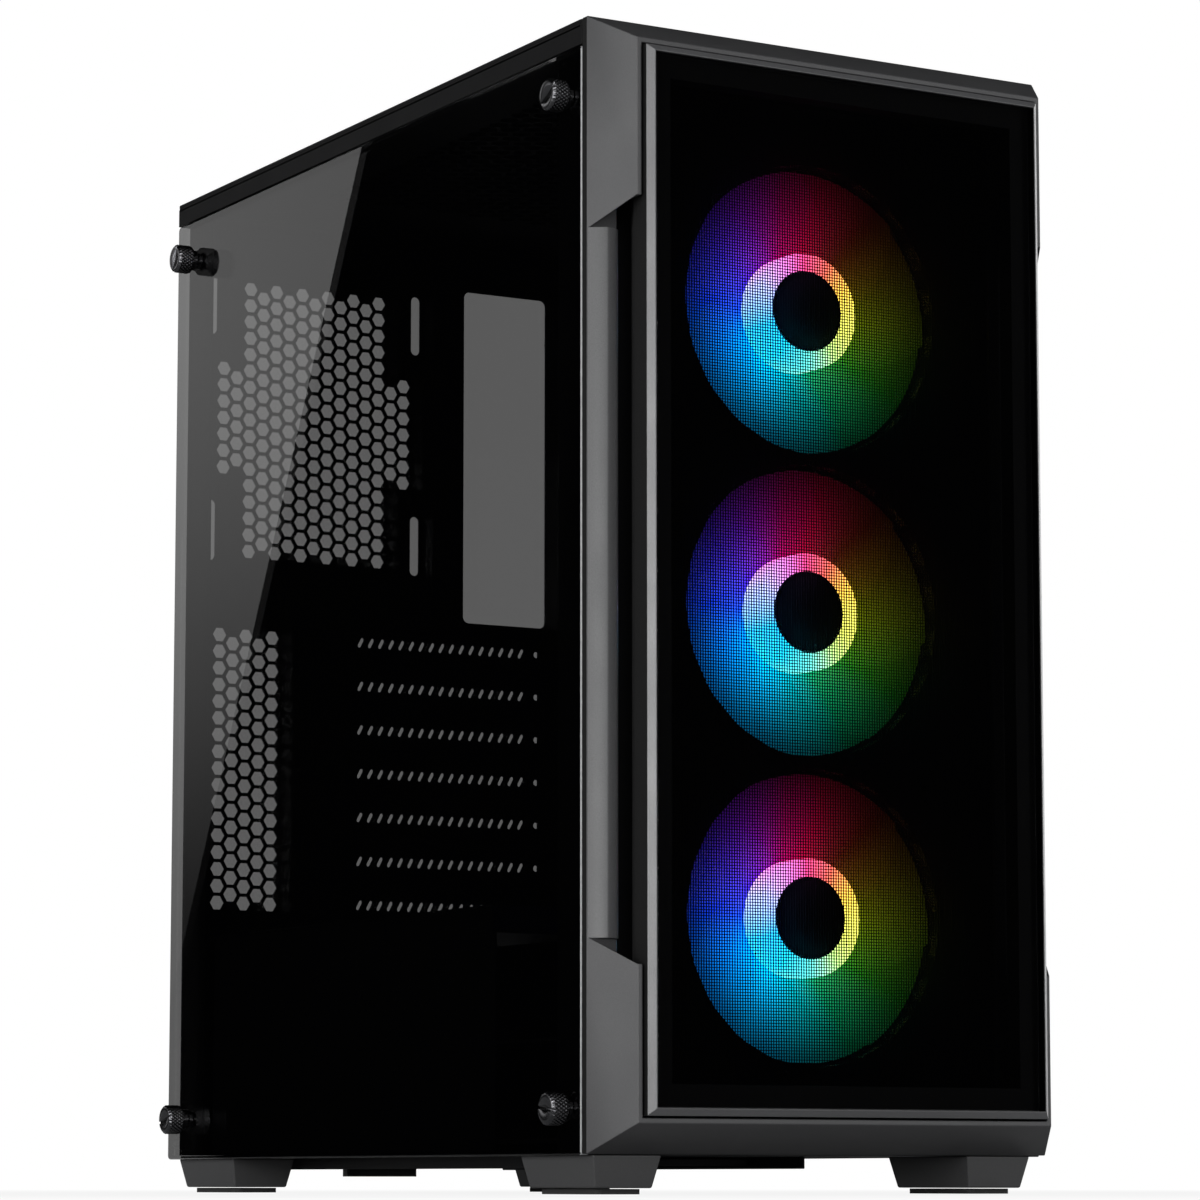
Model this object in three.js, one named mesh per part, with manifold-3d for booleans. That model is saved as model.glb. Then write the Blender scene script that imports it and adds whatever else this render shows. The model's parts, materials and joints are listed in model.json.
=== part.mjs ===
// Empty mid-tower computer case: a folded steel chassis, an angular plastic front with a dark glass
// pane and three lit intake fans, a tempered glass window on its left side, and a steel panel on its right.
//
// Units are millimetres. +X is right as seen from the front, +Y runs from front to back, +Z is up,
// and the feet stand on z = 0. Lengths below are given from the middle of the case's own shell. The whole
// model is then moved a little, so that the origin is the middle of its box with the thumbscrews.

import * as THREE from 'three';
import { mergeVertices } from 'three/addons/utils/BufferGeometryUtils.js';
import Module from 'manifold-3d';

// ---- Driving dimensions ---------------------------------------------------------------------

const CASE_WIDTH = 210;
const CASE_DEPTH = 400;
const CASE_HEIGHT = 450;

const GAP = 0.3; // clearance between pieces that touch
const SHEET = 1; // thickness of folded steel
const BASE = 15; // underside of the floor pan, above the surface that the feet stand on
const ROOF_SIDE = 10; // height of the roof's turned-down side
const PANE = 4; // tempered glass

const HALF = CASE_WIDTH / 2;
const FRONT = -CASE_DEPTH / 2;
const BACK = CASE_DEPTH / 2;
const PANEL_FRONT = FRONT + 28; // front edge of both side panels and of the roof
const ROOF_UNDER = CASE_HEIGHT - ROOF_SIDE;
const PANEL_TOP = ROOF_UNDER - 0.5;
const PANEL_BOTTOM = BASE - 0.5;
const REAR_FACE = BACK - 2; // outer face of the rear panel
const REAR_INNER = REAR_FACE - SHEET;
const LEFT_WALL = -HALF + PANE + SHEET; // outer face of the chassis behind the window
const RIGHT_WALL = HALF - SHEET - 0.8; // outer face of the chassis behind the right panel
const FLOOR_TOP = BASE + SHEET;

const FAN_SIZE = 120;
const FAN_DEPTH = 25;
const FAN_SCREW = 52.5; // half of the 105 mm hole spacing of a 120 mm fan
const FAN_BORE = 58.5;
const FAN_MIDDLE = 226.5; // height of the middle fan
const FAN_FRONT = PANEL_FRONT + 0.6;
const WEB_FRONT = FAN_FRONT + FAN_DEPTH + GAP; // chassis front plate, behind the fans

const TRAY_FACE = 91; // motherboard side of the motherboard tray
const SHROUD_TOP = 112;
const SLOT_PITCH = 20.32;
const SLOT_COUNT = 7;
const FIRST_SLOT = 253; // height of the top expansion slot

const SCREW_HEAD = 6.5; // radius of a thumbscrew's head
const SCREW_REACH = 10; // how far a window thumbscrew stands out of the glass
const REAR_REACH = 6; // how far a rear thumbscrew stands out behind the case
const WINDOW_SCREWS = [[-162, 421], [-162, 32], [182, 421], [182, 32]];

const ROUND = 24; // sides of a round part

const wasm = await Module();
wasm.setup();

// ---- Materials ------------------------------------------------------------------------------

function material(color, roughness, metalness) {
  return new THREE.MeshStandardMaterial({ color, roughness, metalness });
}

const paintedSteel = material(0x141414, 0.5, 0.4);
const bezelPlastic = material(0x3a3a3c, 0.45, 0.1);
const blackPlastic = material(0x18181a, 0.5, 0);
const smokedGlass = material(0x050505, 0.05, 0);
const fanPlastic = material(0x101012, 0.5, 0);
const bladePlastic = material(0x7a6cff, 0.4, 0);
const screwSteel = material(0x606266, 0.3, 0.9);
const bareSteel = material(0xa0a2a4, 0.35, 0.9);
const rubber = material(0x0c0c0c, 0.9, 0);
const filterMesh = material(0x202022, 0.7, 0);
const circuitBoard = material(0x0e3a20, 0.5, 0);

// ---- Shapes ---------------------------------------------------------------------------------

// A closed solid for cutting and joining, from any closed geometry.
function solid(geometry) {
  geometry.deleteAttribute('normal');
  geometry.deleteAttribute('uv');
  const merged = mergeVertices(geometry, 1e-4);
  return new wasm.Manifold(new wasm.Mesh({
    numProp: 3,
    vertProperties: new Float32Array(merged.attributes.position.array),
    triVerts: new Uint32Array(merged.index.array),
  }));
}

// The geometry of a finished solid.
function shell(body) {
  const mesh = body.getMesh();
  const geometry = new THREE.BufferGeometry();
  geometry.setAttribute('position', new THREE.BufferAttribute(new Float32Array(mesh.vertProperties), 3));
  geometry.setIndex(new THREE.BufferAttribute(new Uint32Array(mesh.triVerts), 1));
  geometry.computeVertexNormals();
  return geometry;
}

// One body joined from several geometries, less the geometries in cuts.
function shaped(parts, cuts = []) {
  let body = solid(parts[0]);
  for (const part of parts.slice(1)) {
    body = body.add(solid(part));
  }
  for (const cut of cuts) {
    body = body.subtract(solid(cut));
  }
  return shell(body);
}

// A block between two corners.
function block(x0, x1, y0, y1, z0, z1) {
  const geometry = new THREE.BoxGeometry(x1 - x0, y1 - y0, z1 - z0);
  geometry.translate((x0 + x1) / 2, (y0 + y1) / 2, (z0 + z1) / 2);
  return geometry;
}

function polygon(points) {
  return new THREE.Shape(points.map(([a, b]) => new THREE.Vector2(a, b)));
}

function rectangle(a0, a1, b0, b1) {
  return polygon([[a0, b0], [a1, b0], [a1, b1], [a0, b1]]);
}

function roundedRectangle(a0, a1, b0, b1, r) {
  const shape = new THREE.Shape();
  shape.absarc(a1 - r, b0 + r, r, -Math.PI / 2, 0);
  shape.absarc(a1 - r, b1 - r, r, 0, Math.PI / 2);
  shape.absarc(a0 + r, b1 - r, r, Math.PI / 2, Math.PI);
  shape.absarc(a0 + r, b0 + r, r, Math.PI, 1.5 * Math.PI);
  return shape;
}

function disc(a, b, r) {
  const shape = new THREE.Shape();
  shape.absarc(a, b, r, 0, 2 * Math.PI);
  return shape;
}

// A flat outline, with holes, made solid between two places along X, Y or Z. The outline's two numbers
// are Y and Z for an extrusion along X, X and Z along Y, and X and Y along Z.
function extrude(axis, outline, from, to, holes = [], curveSegments = ROUND) {
  outline.holes.push(...holes);
  const geometry = new THREE.ExtrudeGeometry(outline, {
    depth: to - from,
    bevelEnabled: false,
    curveSegments,
  });
  if (axis === 'x') {
    geometry.rotateX(Math.PI / 2);
    geometry.rotateZ(Math.PI / 2);
    geometry.translate(from, 0, 0);
  } else if (axis === 'y') {
    geometry.rotateX(Math.PI / 2);
    geometry.translate(0, to, 0);
  } else {
    geometry.translate(0, 0, from);
  }
  return geometry;
}

// A stack of rectangles joined by flat faces. Each section is [y, x0, x1, z0, z1], with y rising.
function loft(sections) {
  const corners = sections.flatMap(([y, x0, x1, z0, z1]) => [
    x0, y, z0, x1, y, z0, x1, y, z1, x0, y, z1,
  ]);
  const faces = [0, 1, 2, 0, 2, 3];
  for (let ring = 0; ring < sections.length - 1; ring += 1) {
    for (let side = 0; side < 4; side += 1) {
      const a = ring * 4 + side;
      const b = ring * 4 + (side + 1) % 4;
      faces.push(a, b + 4, b, a, a + 4, b + 4);
    }
  }
  const last = (sections.length - 1) * 4;
  faces.push(last, last + 2, last + 1, last, last + 3, last + 2);
  const geometry = new THREE.BufferGeometry();
  geometry.setAttribute('position', new THREE.Float32BufferAttribute(corners, 3));
  geometry.setIndex(faces);
  return geometry;
}

// A round part turned about X, Y or Z. The outline's points are [radius, place along the axis].
function turned(axis, points, sides = ROUND) {
  const outline = points.map(([r, h]) => new THREE.Vector2(r, h));
  const geometry = new THREE.LatheGeometry(outline, sides);
  if (axis === 'x') {
    geometry.rotateZ(-Math.PI / 2);
  } else if (axis === 'z') {
    geometry.rotateX(Math.PI / 2);
  }
  return geometry;
}

const shellGroup = new THREE.Group();

function place(name, geometry, finish, x = 0, y = 0, z = 0) {
  const mesh = new THREE.Mesh(geometry, finish);
  mesh.name = name;
  mesh.position.set(x, y, z);
  shellGroup.add(mesh);
}

// ---- Chassis --------------------------------------------------------------------------------

const FILTER_HALF = 65; // half the width of the bottom dust filter
const FLOOR_VENT = [-60, 60, 40, 175];

// The floor pan has a vent under the power supply, and two runners below it for the dust filter.
function floorPan() {
  const railX = FILTER_HALF + GAP;
  const [railOut, lipIn, railLow] = [railX + 1.2, railX - 3, BASE - 5];
  const runners = [-1, 1].map((side) => {
    const profile = [
      [railX, BASE + 0.5], [railX, railLow + SHEET], [lipIn, railLow + SHEET],
      [lipIn, railLow], [railOut, railLow], [railOut, BASE + 0.5],
    ];
    const outline = polygon(profile.map(([x, z]) => [side * x, z]));
    return extrude('y', outline, -60, REAR_INNER - 4);
  });
  const pan = block(LEFT_WALL, RIGHT_WALL, WEB_FRONT + 2, REAR_INNER - GAP, BASE, FLOOR_TOP);
  const [x0, x1, y0, y1] = FLOOR_VENT;
  return shaped([pan, ...runners], [block(x0, x1, y0, y1, BASE - 1, FLOOR_TOP + 1)]);
}

const IO_CUT = [42.5, 86.95, 266, 424.75]; // the standard 44.45 by 158.75 mm back-panel opening
const SUPPLY_CUT = [-72, 78, 19, 105]; // the standard 150 by 86 mm power supply opening
const SLOT_CUT = [-17, 83]; // the ends of an expansion slot
const SLOT_CUT_HEIGHT = 13;
const EXHAUST_X = -36; // middle of the rear exhaust vent
const EXHAUST_Z = 353;

const REAR_FLANGE = 24; // depth of the rear panel's folded sides
const WALL_HOLE = 3; // radius of a hole that a window thumbscrew's shank passes
const REAR_HOLE = 2.3; // radius of a hole that a rear thumbscrew's shank passes
const FAN_SLOT = [2.4, 14]; // half the width and height of a slot for the exhaust fan's screws

// The rear panel is folded forward down both sides. Its perforated vents stay closed here.
function rearPanel() {
  const y0 = REAR_FACE - REAR_FLANGE;
  const profile = polygon([
    [LEFT_WALL, y0], [LEFT_WALL + SHEET, y0], [LEFT_WALL + SHEET, REAR_INNER],
    [RIGHT_WALL - SHEET, REAR_INNER], [RIGHT_WALL - SHEET, y0], [RIGHT_WALL, y0],
    [RIGHT_WALL, REAR_FACE], [LEFT_WALL, REAR_FACE],
  ]);
  const cuts = [
    block(IO_CUT[0], IO_CUT[1], REAR_INNER - 1, BACK, IO_CUT[2], IO_CUT[3]),
    block(SUPPLY_CUT[0], SUPPLY_CUT[1], REAR_INNER - 1, BACK, SUPPLY_CUT[2], SUPPLY_CUT[3]),
  ];
  for (let slot = 0; slot < SLOT_COUNT; slot += 1) {
    const z = FIRST_SLOT - slot * SLOT_PITCH;
    const half = SLOT_CUT_HEIGHT / 2;
    cuts.push(block(SLOT_CUT[0], SLOT_CUT[1], REAR_INNER - 1, BACK, z - half, z + half));
  }
  for (const dx of [-FAN_SCREW, FAN_SCREW]) {
    for (const dz of [-FAN_SCREW, FAN_SCREW]) {
      const [x, z] = [EXHAUST_X + dx, EXHAUST_Z + dz];
      const [wide, high] = FAN_SLOT;
      const slotShape = roundedRectangle(x - wide, x + wide, z - high, z + high, wide);
      cuts.push(extrude('y', slotShape, REAR_INNER - 1, BACK, [], 6));
    }
  }
  for (const [y, z] of WINDOW_SCREWS.filter(([depth]) => depth > 0)) {
    cuts.push(extrude('x', disc(y, z, WALL_HOLE), LEFT_WALL - 1, LEFT_WALL + 2, [], 12));
  }
  for (const z of PANEL_SCREWS) {
    cuts.push(extrude('y', disc(PANEL_SCREW_X, z, REAR_HOLE), REAR_INNER - 1, BACK, [], 12));
  }
  cuts.push(extrude('y', disc(RETAINER_X, RETAINER_Z, REAR_HOLE), REAR_INNER - 1, BACK, [], 12));
  return shaped([extrude('z', profile, FLOOR_TOP + GAP, ROOF_UNDER - GAP)], cuts);
}

const FAN_WINDOW = [-59, 59, 46, 407]; // the air opening behind the three front fans

// The chassis front is a channel whose sides and lower lip run forward around the fans.
function frontFrame() {
  const y0 = PANEL_FRONT;
  const y1 = WEB_FRONT + SHEET;
  const profile = polygon([
    [LEFT_WALL, y0], [LEFT_WALL + SHEET, y0], [LEFT_WALL + SHEET, WEB_FRONT],
    [RIGHT_WALL - SHEET, WEB_FRONT], [RIGHT_WALL - SHEET, y0], [RIGHT_WALL, y0],
    [RIGHT_WALL, y1], [LEFT_WALL, y1],
  ]);
  const [x0, x1, z0, z1] = FAN_WINDOW;
  const cuts = [block(x0, x1, WEB_FRONT - 1, y1 + 1, z0, z1)];
  for (const [y, z] of WINDOW_SCREWS.filter(([depth]) => depth < 0)) {
    cuts.push(extrude('x', disc(y, z, WALL_HOLE), LEFT_WALL - 1, LEFT_WALL + 2, [], 12));
  }
  const lip = block(LEFT_WALL, RIGHT_WALL, y0, y1, BASE, FLOOR_TOP);
  return shaped([extrude('z', profile, BASE, ROOF_UNDER - GAP), lip], cuts);
}

const CPU_CUT = [30, 165, 285, 405];
const CABLE_CUTS = [[-120, -96, 180, 240], [-120, -96, 280, 340], [20, 60, 118, 134]];
const STANDOFF_ROWS = [418, 288, 183];
const STANDOFF_COLUMNS = [176, 22, -48];
const STANDOFF = [2.8, 6.5]; // radius and height

// The motherboard tray has a window behind the processor, cable slots, and nine pressed-in standoffs.
function motherboardTray() {
  const front = WEB_FRONT + SHEET + GAP;
  const back = REAR_FACE - REAR_FLANGE - 0.5;
  const outline = rectangle(front, back, SHROUD_TOP + SHEET + GAP, ROOF_UNDER - GAP);
  const holes = [rectangle(...CPU_CUT), ...CABLE_CUTS.map((cut) => rectangle(...cut))];
  const sheet = extrude('x', outline, TRAY_FACE, TRAY_FACE + SHEET, holes);
  const standoffs = STANDOFF_ROWS.flatMap((z) => STANDOFF_COLUMNS.map((y) => (
    extrude('x', disc(y, z, STANDOFF[0]), TRAY_FACE - STANDOFF[1], TRAY_FACE + SHEET / 2, [], 6)
  )));
  return shaped([sheet, ...standoffs]);
}

const TOP_FILTER = [-72, 72, -130, 150];
const FILTER_THICK = 1.6;
const IO_HOUSING = [-48, 56, -168, -148];

// The roof is a shallow tray turned upside down, with a recess on top for its dust filter.
function roofPanel() {
  const deck = 1.2;
  const side = 1.5;
  const recess = CASE_HEIGHT - FILTER_THICK - 0.2;
  const inner = recess - deck;
  const [fx0, fx1, fy0, fy1] = TOP_FILTER;
  const [hx0, hx1, hy0, hy1] = IO_HOUSING;
  return shaped(
    [block(-HALF, HALF, PANEL_FRONT, BACK, ROOF_UNDER, CASE_HEIGHT)],
    [
      block(-HALF + side, HALF - side, PANEL_FRONT - 1, BACK - side, ROOF_UNDER - 1, inner),
      block(fx0 - GAP, fx1 + GAP, fy0 - GAP, fy1 + GAP, recess, CASE_HEIGHT + 1),
      block(hx0 - GAP, hx1 + GAP, hy0 - GAP, hy1 + GAP, ROOF_UNDER, CASE_HEIGHT + 1),
    ],
  );
}

const SHROUD_FRONT = -90;
const SHROUD_SIDE = LEFT_WALL + 3;
const SHROUD_SLOT = [20, 70, -80, -55]; // passes cables from the lower chamber

// The power supply shroud covers the lower chamber above and towards the window, and is folded down in front.
function supplyShroud() {
  const x0 = LEFT_WALL + 1.5;
  const back = REAR_FACE - REAR_FLANGE - 4;
  const fold = 10;
  const [sx0, sx1, sy0, sy1] = SHROUD_SLOT;
  return shaped(
    [
      block(x0, TRAY_FACE, SHROUD_FRONT, REAR_INNER - GAP, SHROUD_TOP, SHROUD_TOP + SHEET),
      block(SHROUD_SIDE, SHROUD_SIDE + SHEET, SHROUD_FRONT, back, FLOOR_TOP + GAP, SHROUD_TOP + SHEET / 2),
      block(x0, TRAY_FACE, SHROUD_FRONT, SHROUD_FRONT + SHEET, SHROUD_TOP - fold, SHROUD_TOP),
    ],
    [block(sx0, sx1, sy0, sy1, SHROUD_TOP - 1, SHROUD_TOP + 2)],
  );
}

const CAGE = [-64, 86, -86, 24]; // drive cage, in plan
const CAGE_TOP = 100;
const BAY_HEIGHT = 40;
const LEDGE_WIDE = 4; // how far a ledge reaches in under a tray
const LEDGE_TOP = FLOOR_TOP + 4;

// The drive cage is one folded sheet, open at both ends, with a ledge under each end of each tray.
function driveCage() {
  const [x0, x1, y0, y1] = CAGE;
  const z0 = FLOOR_TOP + GAP;
  const profile = polygon([
    [y0, z0], [y0 + SHEET, z0], [y0 + SHEET, CAGE_TOP - SHEET],
    [y1 - SHEET, CAGE_TOP - SHEET], [y1 - SHEET, z0], [y1, z0], [y1, CAGE_TOP], [y0, CAGE_TOP],
  ]);
  const ledges = [0, 1].flatMap((bay) => {
    const z = LEDGE_TOP + bay * BAY_HEIGHT;
    return [
      block(x0, x1, y0 + SHEET / 2, y0 + LEDGE_WIDE, z - SHEET, z),
      block(x0, x1, y1 - LEDGE_WIDE, y1 - SHEET / 2, z - SHEET, z),
    ];
  });
  return shaped([extrude('x', profile, x0, x1), ...ledges]);
}

// A drive tray: a floor with two low sides and a handle across its right end.
function driveTray() {
  const [x0, x1, y0, y1] = CAGE;
  const a = y0 + SHEET + 0.5;
  const b = y1 - SHEET - 0.5;
  const [side, wall, floor] = [9, 2, 1.6]; // height and thickness of the sides, and thickness of the floor
  const [handleHigh, grip] = [28, 35]; // and how far the finger hole is from the handle's ends
  const profile = polygon([
    [a, 0], [b, 0], [b, side], [b - wall, side], [b - wall, floor], [a + wall, floor], [a + wall, side], [a, side],
  ]);
  return shaped(
    [extrude('x', profile, x0 + 2, x1 - 3), block(x1 - 4, x1 + 1, a, b, 0, handleHigh)],
    [block(x1 - 5, x1 + 2, a + grip, b - grip, 12, 22)],
  );
}

// A bracket for a small drive, hung on the back of the motherboard tray: a pocket that is open above.
function driveBracket() {
  const [deep, long, high, wall] = [8, 52, 37, 1.6];
  return shaped(
    [block(0, deep, -long, long, -high, high)],
    [block(wall, deep + 1, -long + wall, long - wall, -high + wall, high + 1)],
  );
}

// ---- Front ----------------------------------------------------------------------------------

const BEZEL_BACK = PANEL_FRONT - GAP;
const BEZEL_EDGE = FRONT + 24; // where the slanted faces start
const BEZEL_RIM = FRONT + 4.4; // the narrow rim that faces forward
const SLANT_IN = 11; // how far the slanted faces come in at each side
const SLANT_Z = 11.2; // and at the top and bottom
const RIM = 2;
const VENT_LOW = 96.2; // ends of the side intake, at the case's outer edge
const VENT_HIGH = 366.2;

// The bezel is a ring with slanted faces. A long intake with ends at 45 degrees is cut in each side.
function frontBezel() {
  const low = BASE + SLANT_Z;
  const high = CASE_HEIGHT - SLANT_Z;
  const side = HALF - SLANT_IN;
  const mouth = side - RIM;
  const body = loft([
    [BEZEL_RIM, -side, side, low, high],
    [BEZEL_EDGE, -HALF, HALF, BASE, CASE_HEIGHT],
    [BEZEL_BACK, -HALF, HALF, BASE, CASE_HEIGHT],
  ]);
  const wall = 3;
  const cuts = [
    block(-mouth, mouth, FRONT, BEZEL_BACK + 1, low + RIM, high - RIM),
    block(-HALF + wall, HALF - wall, BEZEL_BACK - 2.3, BEZEL_BACK + 1, BASE + wall, CASE_HEIGHT - wall),
  ];
  for (const sign of [-1, 1]) {
    const notch = polygon([
      [sign * (HALF + 1), VENT_LOW + 1], [sign * side, VENT_LOW - SLANT_IN],
      [sign * (mouth - 1), VENT_LOW - SLANT_IN], [sign * (mouth - 1), VENT_HIGH + SLANT_IN],
      [sign * side, VENT_HIGH + SLANT_IN], [sign * (HALF + 1), VENT_HIGH - 1],
    ]);
    cuts.push(extrude('y', notch, FRONT, BEZEL_EDGE - 0.6));
  }
  return shaped([body], cuts);
}

const FRAME_HALF = HALF - SLANT_IN - RIM - 0.8; // half width of the glass carrier
const FRAME_LOW = BASE + SLANT_Z + RIM + 0.8;
const FRAME_HIGH = CASE_HEIGHT - SLANT_Z - RIM - 0.8;
const FRAME_BACK = FRONT + 12.5;
const BEVEL = 2.5;
const LEDGE = 9;
const SEAT = BEVEL + 0.4; // from the carrier's side to the pocket that holds the pane

// The glass carrier has a bevelled rim, a pocket for the pane and a ledge behind it.
function glassFrame() {
  const body = loft([
    [FRONT, -FRAME_HALF + BEVEL, FRAME_HALF - BEVEL, FRAME_LOW + BEVEL, FRAME_HIGH - BEVEL],
    [FRONT + BEVEL, -FRAME_HALF, FRAME_HALF, FRAME_LOW, FRAME_HIGH],
    [FRAME_BACK, -FRAME_HALF, FRAME_HALF, FRAME_LOW, FRAME_HIGH],
  ]);
  const pocket = FRAME_HALF - SEAT;
  const low = FRAME_LOW + SEAT;
  const high = FRAME_HIGH - SEAT;
  return shaped([body], [
    block(-pocket, pocket, FRONT - 1, FRONT + PANE + GAP, low, high),
    block(-pocket + LEDGE, pocket - LEDGE, FRONT - 1, FRAME_BACK + 1, low + LEDGE, high - LEDGE),
  ]);
}

function frontGlass() {
  const inset = SEAT + GAP;
  const half = FRAME_HALF - inset;
  return block(-half, half, FRONT + 0.1, FRONT + PANE, FRAME_LOW + inset, FRAME_HIGH - inset);
}

const FILTER_BACK = FRONT + 22.5;

// The front dust filter: a stiff rim around a fine sheet.
function frontFilter() {
  const [x, z0, z1, rim] = [86, 34, 431, 6];
  const [thick, sheet] = [2, 0.6];
  return shaped(
    [block(-x, x, FILTER_BACK - thick, FILTER_BACK, z0, z1)],
    [block(-x + rim, x - rim, FILTER_BACK - thick - 1, FILTER_BACK - sheet, z0 + rim, z1 - rim)],
  );
}

// ---- Fans -----------------------------------------------------------------------------------

const HUB = 22; // radius of the fan's hub
const HUB_FACE = 15.5; // radius of its flat face, which a cone joins to its side

const FAN_HOLE = 2.2; // radius of the screw holes in the corners
const SHAFT = 1.6; // radius
const BEARING = 2.1;

// A fan's frame, about its own centre: a square ring, four struts at the back and the motor's boss.
function fanFrame() {
  const half = FAN_SIZE / 2 - 0.2;
  const back = FAN_DEPTH / 2;
  const holes = [disc(0, 0, FAN_BORE)];
  for (const a of [-FAN_SCREW, FAN_SCREW]) {
    for (const b of [-FAN_SCREW, FAN_SCREW]) {
      holes.push(disc(a, b, FAN_HOLE));
    }
  }
  const ring = extrude('y', roundedRectangle(-half, half, -half, half, 6), -back, back, holes, 10);
  const boss = turned('y', [
    [BEARING, -2], [13, -2], [13, 9.5], [HUB, 9.5], [HUB, back], [BEARING, back], [BEARING, -2],
  ]);
  const struts = [0, 1, 2, 3].map((turn) => {
    const strut = block(-2, 2, back - 3, back, HUB - 1, FAN_BORE + 1.5);
    strut.rotateY(Math.PI / 4 + turn * Math.PI / 2);
    return strut;
  });
  return shaped([ring, boss, ...struts]);
}

// One blade, from the hub to its tip: a thin box twisted about its own length and swept back.
function fanBlade(turn) {
  const [inner, outer, chord, thick] = [HUB - 1, 56, 27, 1.4];
  const blade = new THREE.BoxGeometry(chord, thick, outer - inner, 1, 1, 4);
  const point = blade.attributes.position;
  for (let i = 0; i < point.count; i += 1) {
    const out = (point.getZ(i) + (outer - inner) / 2) / (outer - inner);
    const pitch = THREE.MathUtils.degToRad(36 - 12 * out);
    const wide = point.getX(i) * (0.62 + 0.38 * out);
    const lift = point.getY(i);
    const sweep = 9 * out * out;
    point.setXYZ(i,
      wide * Math.cos(pitch) - lift * Math.sin(pitch) + sweep,
      wide * Math.sin(pitch) + lift * Math.cos(pitch) - 1,
      inner + out * (Math.sqrt(outer * outer - (sweep + 12) ** 2) - inner));
  }
  blade.rotateY(turn);
  return blade;
}

// The rotor: a cup-shaped hub with its shaft, and seven blades.
function fanRotor() {
  const blades = 7;
  const [face, cone, back, wall] = [-10, -3.5, 8.5, 2]; // places along the axis, and thickness
  const hub = turned('y', [
    [0, face], [HUB_FACE, face], [HUB, cone], [HUB, back], [HUB - wall, back], [HUB - wall, cone + 1],
    [HUB_FACE - 1, face + wall], [SHAFT, face + wall], [SHAFT, back - 0.5], [0, back - 0.5],
  ]);
  const parts = [hub];
  for (let i = 0; i < blades; i += 1) {
    parts.push(fanBlade(i * 2 * Math.PI / blades));
  }
  const inside = HUB - wall - 0.1;
  const [low, high] = [cone + 1.1, back + 4];
  return shaped(parts, [turned('y', [[2, low], [inside, low], [inside, high], [2, high], [2, low]])]);
}

// ---- Panels and thumbscrews -----------------------------------------------------------------

// The tempered glass window, with a hole at each corner.
function windowGlass() {
  const outline = rectangle(PANEL_FRONT, BACK, PANEL_BOTTOM, PANEL_TOP);
  const holes = WINDOW_SCREWS.map(([y, z]) => disc(y, z, 4));
  return extrude('x', outline, -HALF, -HALF + PANE, holes, 12);
}

const PANEL_SCREW_X = 97;
const PANEL_SCREWS = [405, 50];

// The right panel is a steel sheet folded round the back edge, where two thumbscrews hold it.
function rightPanel() {
  const flangeFront = REAR_FACE + GAP;
  const flangeBack = flangeFront + SHEET;
  const holes = PANEL_SCREWS.map((z) => disc(PANEL_SCREW_X, z, SHEET_HOLE));
  const flange = rectangle(90, HALF - SHEET / 2, PANEL_BOTTOM + 12, PANEL_TOP - 12);
  return shaped([
    block(HALF - SHEET, HALF, PANEL_FRONT, BACK, PANEL_BOTTOM, PANEL_TOP),
    extrude('y', flange, flangeFront, flangeBack, holes, 12),
  ]);
}

const SHANK = 2; // radius of a thumbscrew's shank
const COLLAR = 4.6; // and of the collar under its head

// A thumbscrew, with its head towards -X: a knurled head with a slot, a collar and a plain shank.
function thumbscrew(reach, collar, shank) {
  const body = turned('x', [
    [0, -reach], [SCREW_HEAD - 1, -reach], [SCREW_HEAD, -reach + 0.8], [SCREW_HEAD, -collar],
    [COLLAR, -collar], [COLLAR, -GAP], [SHANK, -GAP], [SHANK, shank], [0, shank],
  ], 16);
  return shaped([body], [block(-reach - 1, -reach + 1.2, -0.7, 0.7, -8, 8)]);
}

// A window post, about its hole: a threaded collar behind the chassis wall.
function windowPost() {
  const [bore, outer, long] = [SHANK + GAP, 7, 9];
  return turned('x', [[bore, 0], [outer, 0], [outer, long], [bore, long], [bore, 0]], 16);
}

// A slot cover: a flat strip whose left end is the screw tab.
function slotCover() {
  const [left, tab, right] = [-32, -20, 86];
  const [low, high] = [6, 9.2]; // half heights of the tab and of the strip
  const outline = polygon([
    [left, -low], [tab, -low], [tab, -high], [right, -high], [right, high], [tab, high], [tab, low], [left, low],
  ]);
  return extrude('y', outline, 0, SHEET, [disc(left + 5, 0, 2.2)], 12);
}

const RETAINER_X = -42;
const RETAINER_Z = FIRST_SLOT - 3 * SLOT_PITCH;

const RETAINER_THICK = 1.5;
const SHEET_HOLE = 2.6; // radius of a hole in a sheet that a rear thumbscrew holds

// The slot retainer lies over the tabs, outside the rear panel.
function slotRetainer() {
  const outline = roundedRectangle(-48, -20, 120, 264, 3);
  const front = REAR_FACE + GAP;
  return extrude('y', outline, front, front + RETAINER_THICK, [disc(RETAINER_X, RETAINER_Z, SHEET_HOLE)], 6);
}

// ---- Filters and feet -----------------------------------------------------------------------

function topFilter() {
  const [x0, x1, y0, y1] = TOP_FILTER;
  return block(x0, x1, y0, y1, CASE_HEIGHT - FILTER_THICK, CASE_HEIGHT - 0.05);
}

// The bottom dust filter, with a finger tab at the back.
function bottomFilter() {
  const top = BASE - SHEET;
  const [low, tabLow, tabHalf] = [top - 2.6, top - 7, 18];
  return shaped([
    block(-FILTER_HALF, FILTER_HALF, -20, REAR_INNER, low, top),
    block(-tabHalf, tabHalf, REAR_INNER - 1, BACK - 0.5, tabLow, top),
  ]);
}

const FOOT_TOP = [15, 28]; // half width and half length where it meets the floor pan
const FOOT_LOW = [12.5, 25]; // and at its lower end
const PAD = 2;

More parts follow.
